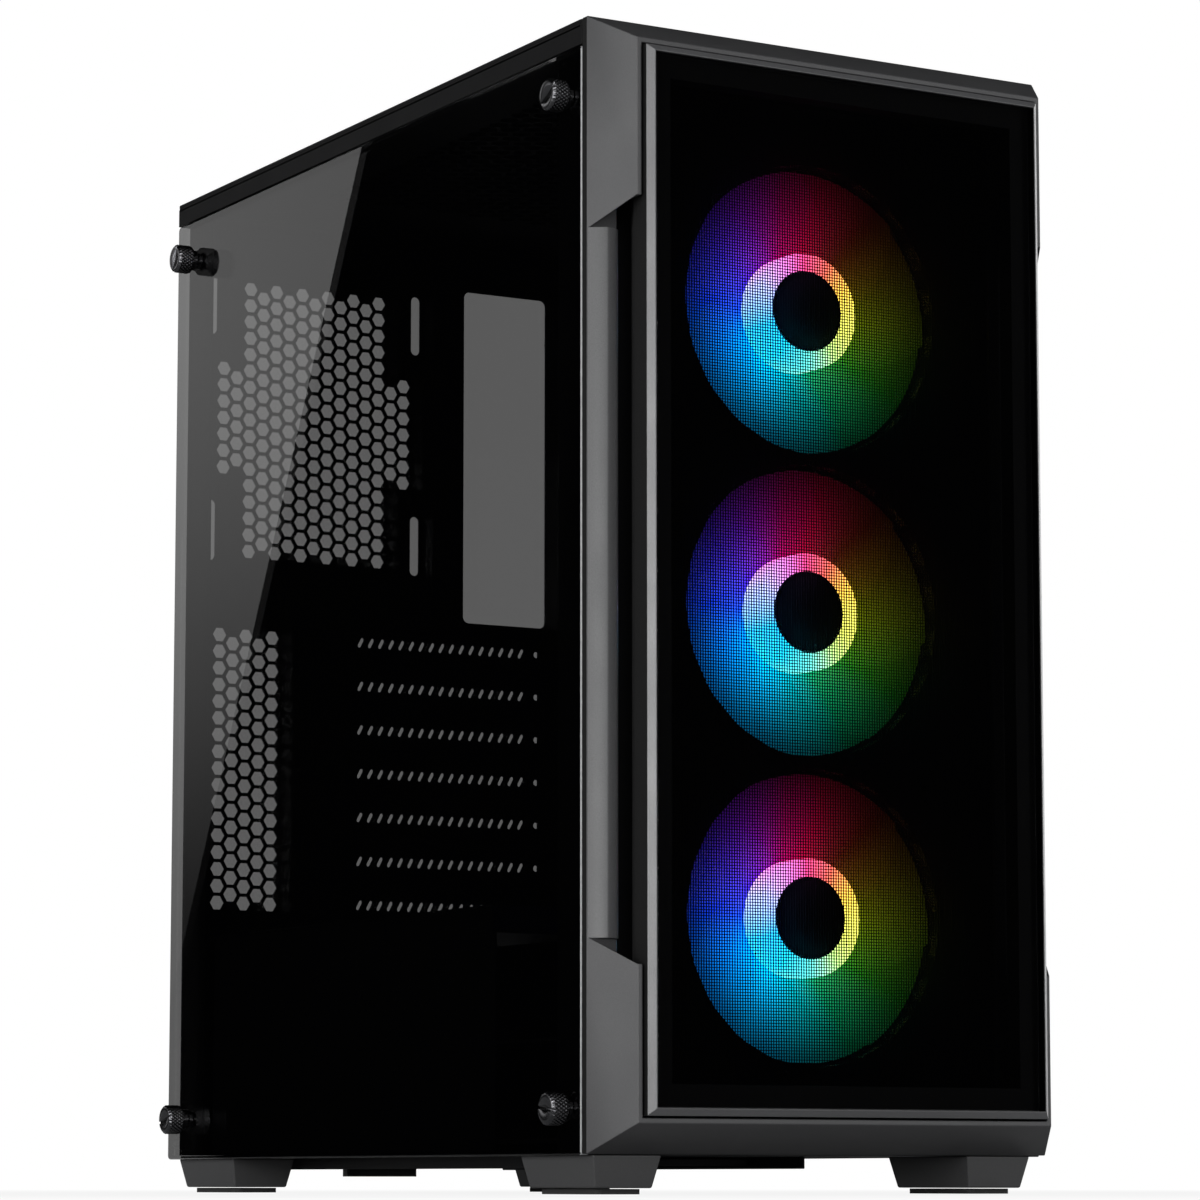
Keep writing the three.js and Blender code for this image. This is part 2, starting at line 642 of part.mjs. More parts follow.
// A foot tapers towards the floor. It is drawn about its middle, with its long side along Y.
function foot() {
  const geometry = loft([
    [0, -FOOT_LOW[0], FOOT_LOW[0], -FOOT_LOW[1], FOOT_LOW[1]],
    [BASE - PAD - 2 * GAP, -FOOT_TOP[0], FOOT_TOP[0], -FOOT_TOP[1], FOOT_TOP[1]],
  ]);
  geometry.rotateX(Math.PI / 2);
  geometry.translate(0, 0, PAD + GAP);
  return geometry;
}

function footPad() {
  const [wide, long, corner] = [10, 22, 3];
  return extrude('z', roundedRectangle(-wide, wide, -long, long, corner), 0, PAD, [], 6);
}

// ---- Controls -------------------------------------------------------------------------------

const POWER = [-36, 6]; // place along the housing, and radius
const RESET = [-18, 2.6];
const USB_PLACES = [4, 24];
const AUDIO = [44, 3.6];
const CONTROL_Y = (IO_HOUSING[2] + IO_HOUSING[3]) / 2;
const HOUSING_LOW = ROOF_UNDER - 6;
const BUTTON_HIGH = 9.5;
const BUTTON_WELL = 11;
const SOCKET_WELL = 13;
const USB_HALF = [6.8, 3.1]; // half the width and height of a USB socket's shell

// The control housing is a plastic block with wells for the buttons and pockets for the sockets.
function controlHousing() {
  const [x0, x1, y0, y1] = IO_HOUSING;
  const top = CASE_HEIGHT;
  const cuts = [
    extrude('z', disc(POWER[0], CONTROL_Y, POWER[1] + GAP), top - BUTTON_WELL, top + 1, [], 16),
    extrude('z', disc(RESET[0], CONTROL_Y, RESET[1] + GAP), top - BUTTON_WELL, top + 1, [], 12),
    extrude('z', disc(AUDIO[0], CONTROL_Y, AUDIO[1] + GAP), top - SOCKET_WELL, top + 1, [], 12),
  ];
  const [wide, deep] = [USB_HALF[0] + GAP, USB_HALF[1] + GAP];
  for (const x of USB_PLACES) {
    cuts.push(block(x - wide, x + wide, CONTROL_Y - deep, CONTROL_Y + deep, top - SOCKET_WELL, top + 1));
  }
  return shaped([block(x0, x1, y0, y1, HOUSING_LOW, top)], cuts);
}

// A round button with a slightly domed top.
function button(radius) {
  const dome = radius * 0.06;
  return turned('z', [
    [0, 0], [radius, 0], [radius, BUTTON_HIGH - dome - 0.3], [radius * 0.8, BUTTON_HIGH - dome], [0, BUTTON_HIGH],
  ], 16);
}

// A USB socket: a steel mouth with a tongue inside.
function usbPort() {
  const [x, y] = USB_HALF;
  const [inX, inY] = [x - 0.7, y - 0.6];
  return shaped(
    [block(-x, x, -y, y, -12, -0.3)],
    [
      block(-inX, inX, 0.5, inY, -9, 1),
      block(-inX, inX, -inY, -1.3, -9, 1),
      block(-inX, inX, -inY, inY, -1.5, 1),
    ],
  );
}

function audioJack() {
  const r = AUDIO[1];
  return turned('z', [[0, -12], [r, -12], [r, -0.3], [1.8, -0.3], [1.8, -10], [0, -10]], 16);
}

function controlBoard() {
  const [x0, x1, y0, y1] = IO_HOUSING;
  return block(x0 + 1, x1 - 1, y0 + 1, y1 - 1, HOUSING_LOW - 2, HOUSING_LOW - GAP);
}

// The lighting hub: a flat box with a row of six sockets along its upper edge.
function lightingHub() {
  const [deep, long, high] = [9, 30, 20];
  const cuts = [0, 1, 2, 3, 4, 5].map((socket) => {
    const y = -long + 4 + socket * 9;
    return block(4, 7, y, y + 6, high - 6, high + 1);
  });
  return shaped([block(0, deep, -long, long, -high, high)], cuts);
}

// ---- Assembly -------------------------------------------------------------------------------

place('floor_pan', floorPan(), paintedSteel);
place('rear_panel', rearPanel(), paintedSteel);
place('front_frame', frontFrame(), paintedSteel);
place('motherboard_tray', motherboardTray(), paintedSteel);
place('roof_panel', roofPanel(), paintedSteel);
place('supply_shroud', supplyShroud(), paintedSteel);
place('drive_cage', driveCage(), paintedSteel);

place('front_bezel', frontBezel(), bezelPlastic);
place('glass_frame', glassFrame(), bezelPlastic);
place('front_glass', frontGlass(), smokedGlass);
place('front_filter', frontFilter(), filterMesh);

['lower', 'middle', 'upper'].forEach((level, i) => {
  const z = FAN_MIDDLE + (i - 1) * FAN_SIZE;
  const y = FAN_FRONT + FAN_DEPTH / 2;
  place(`fan_frame_${level}`, fanFrame(), fanPlastic, 0, y, z);
  place(`fan_rotor_${level}`, fanRotor(), bladePlastic, 0, y, z);
});

place('window_glass', windowGlass(), smokedGlass);
place('right_panel', rightPanel(), paintedSteel);
WINDOW_SCREWS.forEach(([y, z], i) => {
  const corner = ['front_upper', 'front_lower', 'rear_upper', 'rear_lower'][i];
  place(`window_screw_${corner}`, thumbscrew(SCREW_REACH, 2.5, 12), screwSteel, -HALF, y, z);
  place(`window_post_${corner}`, windowPost(), screwSteel, LEFT_WALL + SHEET + GAP, y, z);
});

const rearScrews = [
  ['panel_screw_upper', PANEL_SCREW_X, PANEL_SCREWS[0], REAR_FACE + GAP + SHEET],
  ['panel_screw_lower', PANEL_SCREW_X, PANEL_SCREWS[1], REAR_FACE + GAP + SHEET],
  ['retainer_screw', RETAINER_X, RETAINER_Z, REAR_FACE + GAP + RETAINER_THICK],
];
for (const [name, x, z, seat] of rearScrews) {
  const screw = thumbscrew(BACK + REAR_REACH - seat, 1.2, 4);
  screw.rotateZ(-Math.PI / 2);
  place(name, screw, screwSteel, x, seat, z);
}

for (let slot = 0; slot < SLOT_COUNT; slot += 1) {
  const z = FIRST_SLOT - slot * SLOT_PITCH;
  place(`slot_cover_${slot + 1}`, slotCover(), paintedSteel, 0, REAR_INNER - GAP - SHEET, z);
}
place('slot_retainer', slotRetainer(), paintedSteel);

place('top_filter', topFilter(), filterMesh);
place('bottom_filter', bottomFilter(), filterMesh);
const footPlaces = [
  ['front_left', -86, -146], ['front_right', 84, -146], ['rear_left', -86, 168], ['rear_right', 84, 168],
];
for (const [corner, x, y] of footPlaces) {
  place(`foot_${corner}`, foot(), blackPlastic, x, y);
  place(`foot_pad_${corner}`, footPad(), rubber, x, y);
}

place('drive_tray_lower', driveTray(), blackPlastic, 0, 0, LEDGE_TOP + GAP);
place('drive_tray_upper', driveTray(), blackPlastic, 0, 0, LEDGE_TOP + GAP + BAY_HEIGHT);
place('drive_bracket_lower', driveBracket(), blackPlastic, TRAY_FACE + SHEET + GAP, -38, 150);
place('drive_bracket_upper', driveBracket(), blackPlastic, TRAY_FACE + SHEET + GAP, -38, 235);
place('lighting_hub', lightingHub(), blackPlastic, TRAY_FACE + SHEET + GAP, 60, 160);

place('control_housing', controlHousing(), blackPlastic);
place('power_button', button(POWER[1]), blackPlastic, POWER[0], CONTROL_Y, CASE_HEIGHT - BUTTON_HIGH);
place('reset_button', button(RESET[1]), blackPlastic, RESET[0], CONTROL_Y, CASE_HEIGHT - BUTTON_HIGH);
USB_PLACES.forEach((x, i) => {
  place(`usb_port_${i + 1}`, usbPort(), bareSteel, x, CONTROL_Y, CASE_HEIGHT);
});
place('audio_jack', audioJack(), blackPlastic, AUDIO[0], CONTROL_Y, CASE_HEIGHT);
place('control_board', controlBoard(), circuitBoard);

// The origin is the middle of the box with the thumbscrews, at the surface that the feet stand on.
shellGroup.position.set(SCREW_REACH / 2, -REAR_REACH / 2, 0);
const computerCase = new THREE.Group();
computerCase.add(shellGroup);

export default computerCase;
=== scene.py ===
"""Looks for a mid-tower computer case: steel chassis, smoked glass, grained plastic and three lit fans.

The studio comes first, then the front, the fans, the chassis, the roof, the panels and their screws, the
underside, and the small parts inside. Lengths are in metres, and a number times MM is in millimetres.
"""
import json
import math
import bmesh
import bpy
import numpy as np
from mathutils import Matrix, Vector

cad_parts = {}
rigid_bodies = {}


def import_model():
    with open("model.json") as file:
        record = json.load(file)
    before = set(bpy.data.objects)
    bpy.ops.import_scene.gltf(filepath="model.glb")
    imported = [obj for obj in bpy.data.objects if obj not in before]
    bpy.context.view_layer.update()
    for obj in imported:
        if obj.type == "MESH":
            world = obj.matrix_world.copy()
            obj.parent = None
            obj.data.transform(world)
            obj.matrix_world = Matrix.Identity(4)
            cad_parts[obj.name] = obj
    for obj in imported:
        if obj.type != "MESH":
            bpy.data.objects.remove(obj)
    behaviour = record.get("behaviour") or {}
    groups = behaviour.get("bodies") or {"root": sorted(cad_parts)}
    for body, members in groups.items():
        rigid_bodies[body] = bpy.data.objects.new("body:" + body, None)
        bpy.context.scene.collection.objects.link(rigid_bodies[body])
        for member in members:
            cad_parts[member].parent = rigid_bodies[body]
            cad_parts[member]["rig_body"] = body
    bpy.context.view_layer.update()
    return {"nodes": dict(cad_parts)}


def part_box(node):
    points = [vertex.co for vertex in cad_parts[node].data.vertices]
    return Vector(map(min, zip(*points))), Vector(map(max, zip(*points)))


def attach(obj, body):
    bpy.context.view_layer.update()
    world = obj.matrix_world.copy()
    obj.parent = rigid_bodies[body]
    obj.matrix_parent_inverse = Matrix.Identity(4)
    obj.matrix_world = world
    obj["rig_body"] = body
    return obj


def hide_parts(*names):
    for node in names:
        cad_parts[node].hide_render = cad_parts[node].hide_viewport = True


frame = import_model()
MM = 0.001

# ---- Studio ---------------------------------------------------------------------------------------
# A long lens low in front of the left corner, a pale floor that runs out to a white surround, and
# large soft lamps. Dark cards beside the case keep the mirrored surround off its glass.


def placed(name, data):
    """A new object in the scene that holds the data."""
    thing = bpy.data.objects.new(name, data)
    bpy.context.collection.objects.link(thing)
    return thing


AIM = (30.105, 6.907)  # degrees: turn towards +X, and tilt upwards
camera_data = bpy.data.cameras.new("camera")
camera_data.lens = 128.96
camera_data.sensor_width = 36
camera_data.shift_y = 0.05
camera_data.clip_start = 0.05
camera_data.clip_end = 60
camera = placed("camera", camera_data)
camera.location = (-0.904, -1.5758, 0.0051)
camera.rotation_euler = (math.radians(90 + AIM[1]), 0, math.radians(-AIM[0]))
bpy.context.scene.camera = camera
bpy.context.scene.view_settings.view_transform = "Standard"


def nodes_of(material):
    """The material's emptied node tree, as its nodes and a function that links an output to an input."""
    material.use_nodes = True
    tree = material.node_tree
    tree.nodes.clear()
    return tree.nodes, tree.links.new


def sees_background(nodes, link, others):
    """1 for rays that are shown plain white: those from the camera, and the other kinds named."""
    path = nodes.new("ShaderNodeLightPath")
    total = path.outputs["Is Camera Ray"]
    for name in others:
        add = nodes.new("ShaderNodeMath")
        add.operation = "ADD"
        add.use_clamp = True
        link(total, add.inputs[0])
        link(path.outputs[name], add.inputs[1])
        total = add.outputs[0]
    return total


world = bpy.data.worlds.new("surround")
bpy.context.scene.world = world
world_nodes, world_link = nodes_of(world)
ambient = world_nodes.new("ShaderNodeBackground")
ambient.inputs["Color"].default_value = (0.93, 0.96, 1.0, 1)
ambient.inputs["Strength"].default_value = 0.2
seen = world_nodes.new("ShaderNodeBackground")
seen.inputs["Color"].default_value = (1, 1, 1, 1)
seen.inputs["Strength"].default_value = 1.0
blend = world_nodes.new("ShaderNodeMixShader")
white_rays = sees_background(world_nodes, world_link, ("Is Glossy Ray", "Is Transmission Ray"))
world_link(white_rays, blend.inputs[0])
world_link(ambient.outputs[0], blend.inputs[1])
world_link(seen.outputs[0], blend.inputs[2])
world_link(blend.outputs[0], world_nodes.new("ShaderNodeOutputWorld").inputs["Surface"])


def new_object(name, points, faces, material):
    """A mesh object made from arrays of points and faces."""
    mesh = bpy.data.meshes.new(name)
    mesh.from_pydata(np.asarray(points, float).tolist(), [], [list(map(int, face)) for face in faces])
    mesh.materials.append(material)
    return placed(name, mesh)


# The floor looks nearly white under the case and fully white from 0.9 m out, and keeps a faint shadow.
FLOOR_REACH = 14.0
floor_material = bpy.data.materials.new("floor_paint")
nodes, link = nodes_of(floor_material)
paint = nodes.new("ShaderNodeBsdfDiffuse")
paint.inputs["Color"].default_value = (0.5, 0.5, 0.5, 1)
glow = nodes.new("ShaderNodeEmission")
glow.inputs["Color"].default_value = (1, 1, 1, 1)
distance = nodes.new("ShaderNodeVectorMath")
distance.operation = "LENGTH"
link(nodes.new("ShaderNodeTexCoord").outputs["Object"], distance.inputs[0])
away = nodes.new("ShaderNodeMapRange")
for socket, number in (("From Min", 0.3), ("From Max", 0.9), ("To Min", 0.88)):
    away.inputs[socket].default_value = number
link(distance.outputs["Value"], away.inputs["Value"])
whiteness = nodes.new("ShaderNodeMath")
whiteness.operation = "MULTIPLY"
link(away.outputs[0], whiteness.inputs[1])
mix = nodes.new("ShaderNodeMixShader")
link(sees_background(nodes, link, ("Is Transmission Ray",)), whiteness.inputs[0])
link(whiteness.outputs[0], mix.inputs[0])
link(paint.outputs[0], mix.inputs[1])
link(glow.outputs[0], mix.inputs[2])
link(mix.outputs[0], nodes.new("ShaderNodeOutputMaterial").inputs["Surface"])
floor = new_object(
    "floor",
    [(x * FLOOR_REACH, y * FLOOR_REACH, -0.0002) for x, y in ((-1, -1), (1, -1), (1, 1), (-1, 1))],
    [(0, 1, 2, 3)],
    floor_material,
)


def soft_lamp(name, place, aim, size, power):
    """A rectangular area lamp at place, turned towards aim."""
    data = bpy.data.lights.new(name, "AREA")
    data.shape = "RECTANGLE"
    data.size, data.size_y = size
    data.energy = power
    lamp = placed(name, data)
    lamp.location = place
    lamp.rotation_euler = (Vector(aim) - Vector(place)).to_track_quat("-Z", "Y").to_euler()


CASE_MIDDLE = (0, 0, 0.22)
soft_lamp("left_softbox", (-2.6, 0.0, 0.55), CASE_MIDDLE, (1.0, 1.5), 22)
soft_lamp("left_front_softbox", (-2.2, -1.45, 0.3), CASE_MIDDLE, (0.8, 1.3), 33)
soft_lamp("front_softbox", (-0.9, -2.7, 0.2), CASE_MIDDLE, (1.2, 0.8), 24)
soft_lamp("right_strip", (1.5, -2.2, 0.5), CASE_MIDDLE, (0.5, 1.4), 16)
soft_lamp("top_softbox", (0.2, 0.3, 2.4), CASE_MIDDLE, (1.8, 1.8), 3)
soft_lamp("back_softbox", (1.7, 2.3, 0.4), CASE_MIDDLE, (1.4, 0.8), 13)
soft_lamp("right_softbox", (2.7, 0.5, 0.7), CASE_MIDDLE, (1.2, 1.2), 20)


def card(name, corners, material):
    """A flat card that only shows in mirrored light."""
    thing = new_object(name, corners, [tuple(range(len(corners)))], material)
    for ray in ("camera", "diffuse", "transmission", "volume_scatter", "shadow"):
        setattr(thing, f"visible_{ray}", False)


black_card = bpy.data.materials.new("black_card")
nodes, link = nodes_of(black_card)
velvet = nodes.new("ShaderNodeEmission")
velvet.inputs["Color"].default_value = (0, 0, 0, 1)
link(velvet.outputs[0], nodes.new("ShaderNodeOutputMaterial").inputs["Surface"])
card("front_flag", [(0.3, -2.3, -0.3), (2.6, -0.9, -0.3), (2.6, -0.9, 2.2), (0.3, -2.3, 2.2)], black_card)
card("back_flag", [(-2.6, 2.5, -0.2), (0.4, 2.5, -0.2), (0.4, 2.5, 2.0), (-2.6, 2.5, 2.0)], black_card)
card("top_flag", [(-3.0, -0.8, 1.4), (4.5, -0.8, 1.4), (4.5, 5.0, 2.4), (-3.0, 5.0, 2.4)], black_card)

# The window mirrors a white board behind the flag's edge: it is brightest at the top, and its slanting
# edge crosses the window from the roof down to the back.
white_board = bpy.data.materials.new("white_board")
nodes, link = nodes_of(white_board)
height = nodes.new("ShaderNodeSeparateXYZ")
link(nodes.new("ShaderNodeTexCoord").outputs["Object"], height.inputs[0])
fade = nodes.new("ShaderNodeMapRange")
fade.interpolation_type = "SMOOTHSTEP"
for socket, number in (("From Min", 0.1), ("From Max", 1.0), ("To Min", 0.02), ("To Max", 1.15)):
    fade.inputs[socket].default_value = number
link(height.outputs["Z"], fade.inputs["Value"])
board_light = nodes.new("ShaderNodeEmission")
link(fade.outputs[0], board_light.inputs["Strength"])
link(board_light.outputs[0], nodes.new("ShaderNodeOutputMaterial").inputs["Surface"])
card("white_board", [(-1.109, 2.49, 0.05), (-0.70, 2.49, 0.05), (-0.70, 2.49, 1.5), (-1.444, 2.49, 1.5)],
     white_board)

# ---- Front bezel ----------------------------------------------------------------------------------
# One moulding in dark grey plastic with a fine spark-eroded grain. Its faces slant in to a narrow rim,
# and a long air intake with ends at 45 degrees is let into each side. The helpers up to the first
# piece serve every later section.


def noise(nodes, link, place, scale, detail=2.0):
    """Noise of the given scale, in features per metre, read from the object's own coordinates."""
    texture = nodes.new("ShaderNodeTexNoise")
    texture.inputs["Scale"].default_value = scale
    texture.inputs["Detail"].default_value = detail
    link(place, texture.inputs["Vector"])
    return texture.outputs["Fac"]


def ranged(nodes, link, value, low, high):
    """A noise value, which mostly lies between 0.3 and 0.7, carried to low..high."""
    scale = nodes.new("ShaderNodeMapRange")
    for socket, number in (("From Min", 0.3), ("From Max", 0.7), ("To Min", low), ("To Max", high)):
        scale.inputs[socket].default_value = number
    link(value, scale.inputs["Value"])
    return scale.outputs[0]


def finish(name, colour, rough, metal=0.0, grain=1800, depth=0.03, shine=0.5, spread=0.12, alpha=1.0):
    """A grained finish. The colour varies by the share spread with the grain and with slow, hand-sized
    patches. Roughness varies by a third of spread, and the bump's height is depth millimetres."""
    material = bpy.data.materials.new(name)
    nodes, link = nodes_of(material)
    place = nodes.new("ShaderNodeTexCoord").outputs["Object"]
    shader = nodes.new("ShaderNodeBsdfPrincipled")
    shader.inputs["Metallic"].default_value = metal
    shader.inputs["Specular IOR Level"].default_value = shine
    shader.inputs["Alpha"].default_value = alpha
    tone = nodes.new("ShaderNodeMix")
    tone.data_type = "RGBA"
    tone.inputs["A"].default_value = (*[c * (1 - spread) for c in colour], 1)
    tone.inputs["B"].default_value = (*[min(1, c * (1 + spread)) for c in colour], 1)
    fine = noise(nodes, link, place, grain, 3)
    slow = noise(nodes, link, place, 35, 4)
    both = nodes.new("ShaderNodeMath")
    both.operation = "MULTIPLY_ADD"
    both.inputs[1].default_value = 0.35
    link(slow, both.inputs[0])
    link(ranged(nodes, link, fine, -0.175, 0.825), both.inputs[2])
    link(both.outputs[0], tone.inputs["Factor"])
    link(tone.outputs["Result"], shader.inputs["Base Color"])
    link(ranged(nodes, link, slow, rough - spread / 3, rough + spread / 3), shader.inputs["Roughness"])
    if depth:
        bump = nodes.new("ShaderNodeBump")
        bump.inputs["Strength"].default_value = 0.6
        bump.inputs["Distance"].default_value = depth * MM
        link(fine, bump.inputs["Height"])
        link(bump.outputs[0], shader.inputs["Normal"])
    link(shader.outputs[0], nodes.new("ShaderNodeOutputMaterial").inputs["Surface"])
    return material


def creased(work, mesh, sharp):
    """Shades a mesh smooth but for its edges sharper than the given angle, and ends the work on it."""
    for edge in work.edges:
        edge.smooth = len(edge.link_faces) == 2 and edge.calc_face_angle(math.pi) < math.radians(sharp)
    for face in work.faces:
        face.smooth = True
    work.to_mesh(mesh)
    work.free()


def tidied(mesh, sharp):
    """Welds a mesh's points, turns its faces outward, and creases it at the given angle."""
    work = bmesh.new()
    work.from_mesh(mesh)
    bmesh.ops.remove_doubles(work, verts=work.verts, dist=1e-6)
    bmesh.ops.dissolve_degenerate(work, edges=work.edges, dist=1e-7)
    bmesh.ops.recalc_face_normals(work, faces=work.faces)
    creased(work, mesh, sharp)


def mounted(thing, body, slot, *nodes):
    """Puts a piece on a body, in place of CAD nodes. slot is not used."""
    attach(thing, body)
    if nodes:
        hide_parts(*nodes)
    return thing


def eased(node, name, material, slot, width, segments=2):
    """A copy of a CAD node with its sharp edges rounded to width mm, in place of the node."""
    source = frame["nodes"][node]
    mesh = source.data.copy()
    work = bmesh.new()
    work.from_mesh(mesh)
    bmesh.ops.remove_doubles(work, verts=work.verts, dist=2e-6)
    bmesh.ops.join_triangles(work, faces=work.faces, angle_face_threshold=0.01, angle_shape_threshold=3.1)
    creased(work, mesh, 30)
    mesh.materials.clear()
    mesh.materials.append(material)
    thing = placed(name, mesh)
    bevel = thing.modifiers.new("eased_edges", "BEVEL")
    bevel.width = width * MM
    bevel.segments = segments
    bevel.limit_method = "ANGLE"
    bevel.angle_limit = math.radians(32)
    bevel.harden_normals = True
    return mounted(thing, source["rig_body"], slot, node)


bezel_plastic = finish("grained_bezel_plastic", (0.056, 0.056, 0.058), 0.44, grain=2600, depth=0.05,
                       shine=0.4)
# The near-black side plastic is painted shade: it stands in for the shadow on the sides of the bezel and
# the glass carrier.
painted_shade_plastic = finish("painted_shade_side_plastic", (0.008, 0.008, 0.008), 0.6, grain=2200, depth=0.02, shine=0.1)


def paint_sides_shade(thing):
    """Gives a piece's sides, which face left and right, a near-black plastic: painted shade for sides
    that lie in shadow.
    """
    thing.data.materials.append(painted_shade_plastic)
    for face in thing.data.polygons:
        face.material_index = int(abs(face.normal.x) > 0.95)


paint_sides_shade(eased("front_bezel", "front_bezel_shell", bezel_plastic, "bezel_plastic", width=0.45))


def quads(rows, columns, wrap_rows=False, wrap_columns=False):
    """Four-sided faces over a grid of points, numbered row by row."""
    row, column = np.meshgrid(np.arange(rows - (not wrap_rows)), np.arange(columns - (not wrap_columns)),
                              indexing="ij")
    below, beside = (row + 1) % rows, (column + 1) % columns
    return np.stack([row * columns + column, row * columns + beside, below * columns + beside,
                     below * columns + column], -1).reshape(-1, 4)


def extruded(name, outline, low, high, axes, material, sharp=30):
    """A solid with one outline, of points in a plane, repeated at low and high along the third axis.
    axes names the outline's two axes and the third, as 0, 1 and 2."""
    outline = np.asarray(outline, float)
    count = len(outline)
    points = np.zeros((2, count, 3))
    points[:, :, axes[0]] = outline[:, 0]
    points[:, :, axes[1]] = outline[:, 1]
    points[:, :, axes[2]] = np.array([[low], [high]])
    sides = quads(2, count, wrap_columns=True)
    ends = [np.arange(count)[::-1], np.arange(count) + count]
    thing = new_object(name, points.reshape(-1, 3), [*sides, *ends], material)
    tidied(thing.data, sharp)
    return thing


# The floor of each intake: its outer half leans forward, and its inner half rolls back as a quarter
# of an ellipse, so that air turns in behind the glass. u goes in from the case's side, v forward.
bezel_low, bezel_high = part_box("front_bezel")
# The intake is part of the bezel moulding, but its plastic is nearly twice as light as the bezel's:
# painted light on the intake's floor. It is also a little smoother.
intake_painted_light_plastic = finish("smooth_intake_plastic_painted_light", (0.100, 0.100, 0.102), 0.38, grain=2600, depth=0.02)
COVE_BACK = bezel_low.y + 19.0 * MM
COVE_ENDS = (bezel_low.z + 80.5 * MM, bezel_high.z - 83.1 * MM)
roll = np.linspace(0, math.pi / 2, 12)
cove_u = np.concatenate([[0.25, 6.2], 6.2 + 6.9 * np.sin(roll), [0.25]]) * MM
cove_v = np.concatenate([[0.2, 4.2], 4.2 * np.cos(roll), [0.0]]) * MM - 0.05 * MM
for side, edge in (("left", bezel_low.x), ("right", bezel_high.x)):
    inward = 1 if side == "left" else -1
    outline = np.stack([edge + inward * cove_u, COVE_BACK - cove_v], 1)
    cove = extruded(f"intake_cove_{side}", outline, *COVE_ENDS, (0, 1, 2), intake_painted_light_plastic, sharp=45)
    mounted(cove, "front_panel", "bezel_plastic")

# ---- Glass carrier and front glass ----------------------------------------------------------------
# The carrier is smoother than the bezel, with a bevel that catches the light all round. The pane is
# smoked tempered glass with polished edges, glued into it.

carrier_plastic = finish("satin_carrier_plastic", (0.098, 0.098, 0.101), 0.32, grain=2200, depth=0.02)
paint_sides_shade(eased("glass_frame", "glass_frame_rim", carrier_plastic, "bezel_plastic", width=0.3))


def smoked(name, blocks, shine):
    """Smoked glass. Each face holds back the share blocks of the light. Faint smears change how sharp
    its mirror is."""
    return finish(name, (0.0006, 0.0006, 0.0007), 0.004, grain=60, depth=0, shine=shine, spread=0.01,
                  alpha=blocks)


front_smoke = smoked("smoked_front_glass", 0.68, 0.05)
eased("front_glass", "front_glass_pane", front_smoke, "dark_glass", width=0.4)

# ---- Front dust filter ----------------------------------------------------------------------------
# A thin plastic rim with a woven nylon mesh in it, pushed into the back of the bezel.

filter_plastic = finish("filter_rim_plastic", (0.012, 0.012, 0.012), 0.55, grain=1500)
filter_weave = finish("filter_nylon", (0.005, 0.005, 0.005), 0.6, grain=4000, shine=0.15)
WIRE = 0.34 * MM
WIRE_PITCH = 1.15 * MM


def wires(low, high, axes, depth):
    """Straight square wires side by side across axes[0], each running along axes[1], between the corners
    low and high, at the given depth on axes[2]. Wire k is at low + (k + 1/2) * pitch. Returns points
    and faces."""
    count = max(1, int((high[0] - low[0]) / WIRE_PITCH))
    middle = low[0] + (np.arange(count) + 0.5) * (high[0] - low[0]) / count
    section = np.array([[-1, -1], [1, -1], [1, 1], [-1, 1]]) * WIRE / 2
    points = np.zeros((count, 2, 4, 3))
    points[..., axes[0]] = middle[:, None, None] + section[:, 0]
    points[..., axes[1]] = np.array([low[1], high[1]])[:, None]
    points[..., axes[2]] = depth + section[:, 1]
    box = np.array([[0, 3, 2, 1], [4, 5, 6, 7], [0, 1, 5, 4], [1, 2, 6, 5], [2, 3, 7, 6], [3, 0, 4, 7]])
    return points.reshape(-1, 3), (box + 8 * np.arange(count)[:, None, None]).reshape(-1, 4)


def woven(name, low, high, axes, depth, material):
    """A mesh of wires along both axes of a rectangle, one layer just behind the other."""
    up, up_faces = wires(low, high, axes, depth)
    across, across_faces = wires(low[::-1], high[::-1], (axes[1], axes[0], axes[2]), depth + WIRE * 1.05)
    faces = np.vstack([up_faces, across_faces + len(up)])
    thing = new_object(name, np.vstack([up, across]), faces, material)
    tidied(thing.data, 30)
    return thing


def rounded(a0, b0, a1, b1, r):
    """The outline of a rectangle with round corners of radius r, each an arc of six points."""
    turn = np.linspace(0, math.pi / 2, 6)
    middles = ((a1 - r, b1 - r), (a0 + r, b1 - r), (a0 + r, b0 + r), (a1 - r, b0 + r))
    return np.vstack([
        np.stack([a + r * np.cos(turn + k * math.pi / 2), b + r * np.sin(turn + k * math.pi / 2)], 1)
        for k, (a, b) in enumerate(middles)
    ])


def rim(name, corners, wide, low, high, axes, material):
    """A flat ring, wide across, inside a rectangle with round corners, between low and high."""
    a0, b0, a1, b1 = corners
    outer = rounded(a0, b0, a1, b1, 3 * MM)
    inner = rounded(a0 + wide, b0 + wide, a1 - wide, b1 - wide, 1.8 * MM)
    points = np.zeros((4, len(outer), 3))
    for row, (ring, place) in enumerate(((outer, low), (inner, low), (inner, high), (outer, high))):
        points[row, :, axes[0]] = ring[:, 0]
        points[row, :, axes[1]] = ring[:, 1]
        points[row, :, axes[2]] = place
    faces = quads(4, len(outer), wrap_rows=True, wrap_columns=True)
    thing = new_object(name, points.reshape(-1, 3), faces, material)
    tidied(thing.data, 30)
    return thing


FILTER_RIM = 6 * MM
HELD = 1 * MM  # how far a mesh's edge goes into its rim
low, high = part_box("front_filter")
filter_rim = rim("front_filter_rim", (low.x, low.z, high.x, high.z), FILTER_RIM, low.y, high.y, (0, 2, 1),
                 filter_plastic)
mounted(filter_rim, "front_panel", "filter_mesh", "front_filter")
inset = FILTER_RIM - HELD
filter_mesh = woven("front_filter_mesh", (low.x + inset, low.z + inset), (high.x - inset, high.z - inset),
                    (0, 2, 1), low.y + 1 * MM, filter_weave)
mounted(filter_mesh, "front_panel", "filter_mesh")
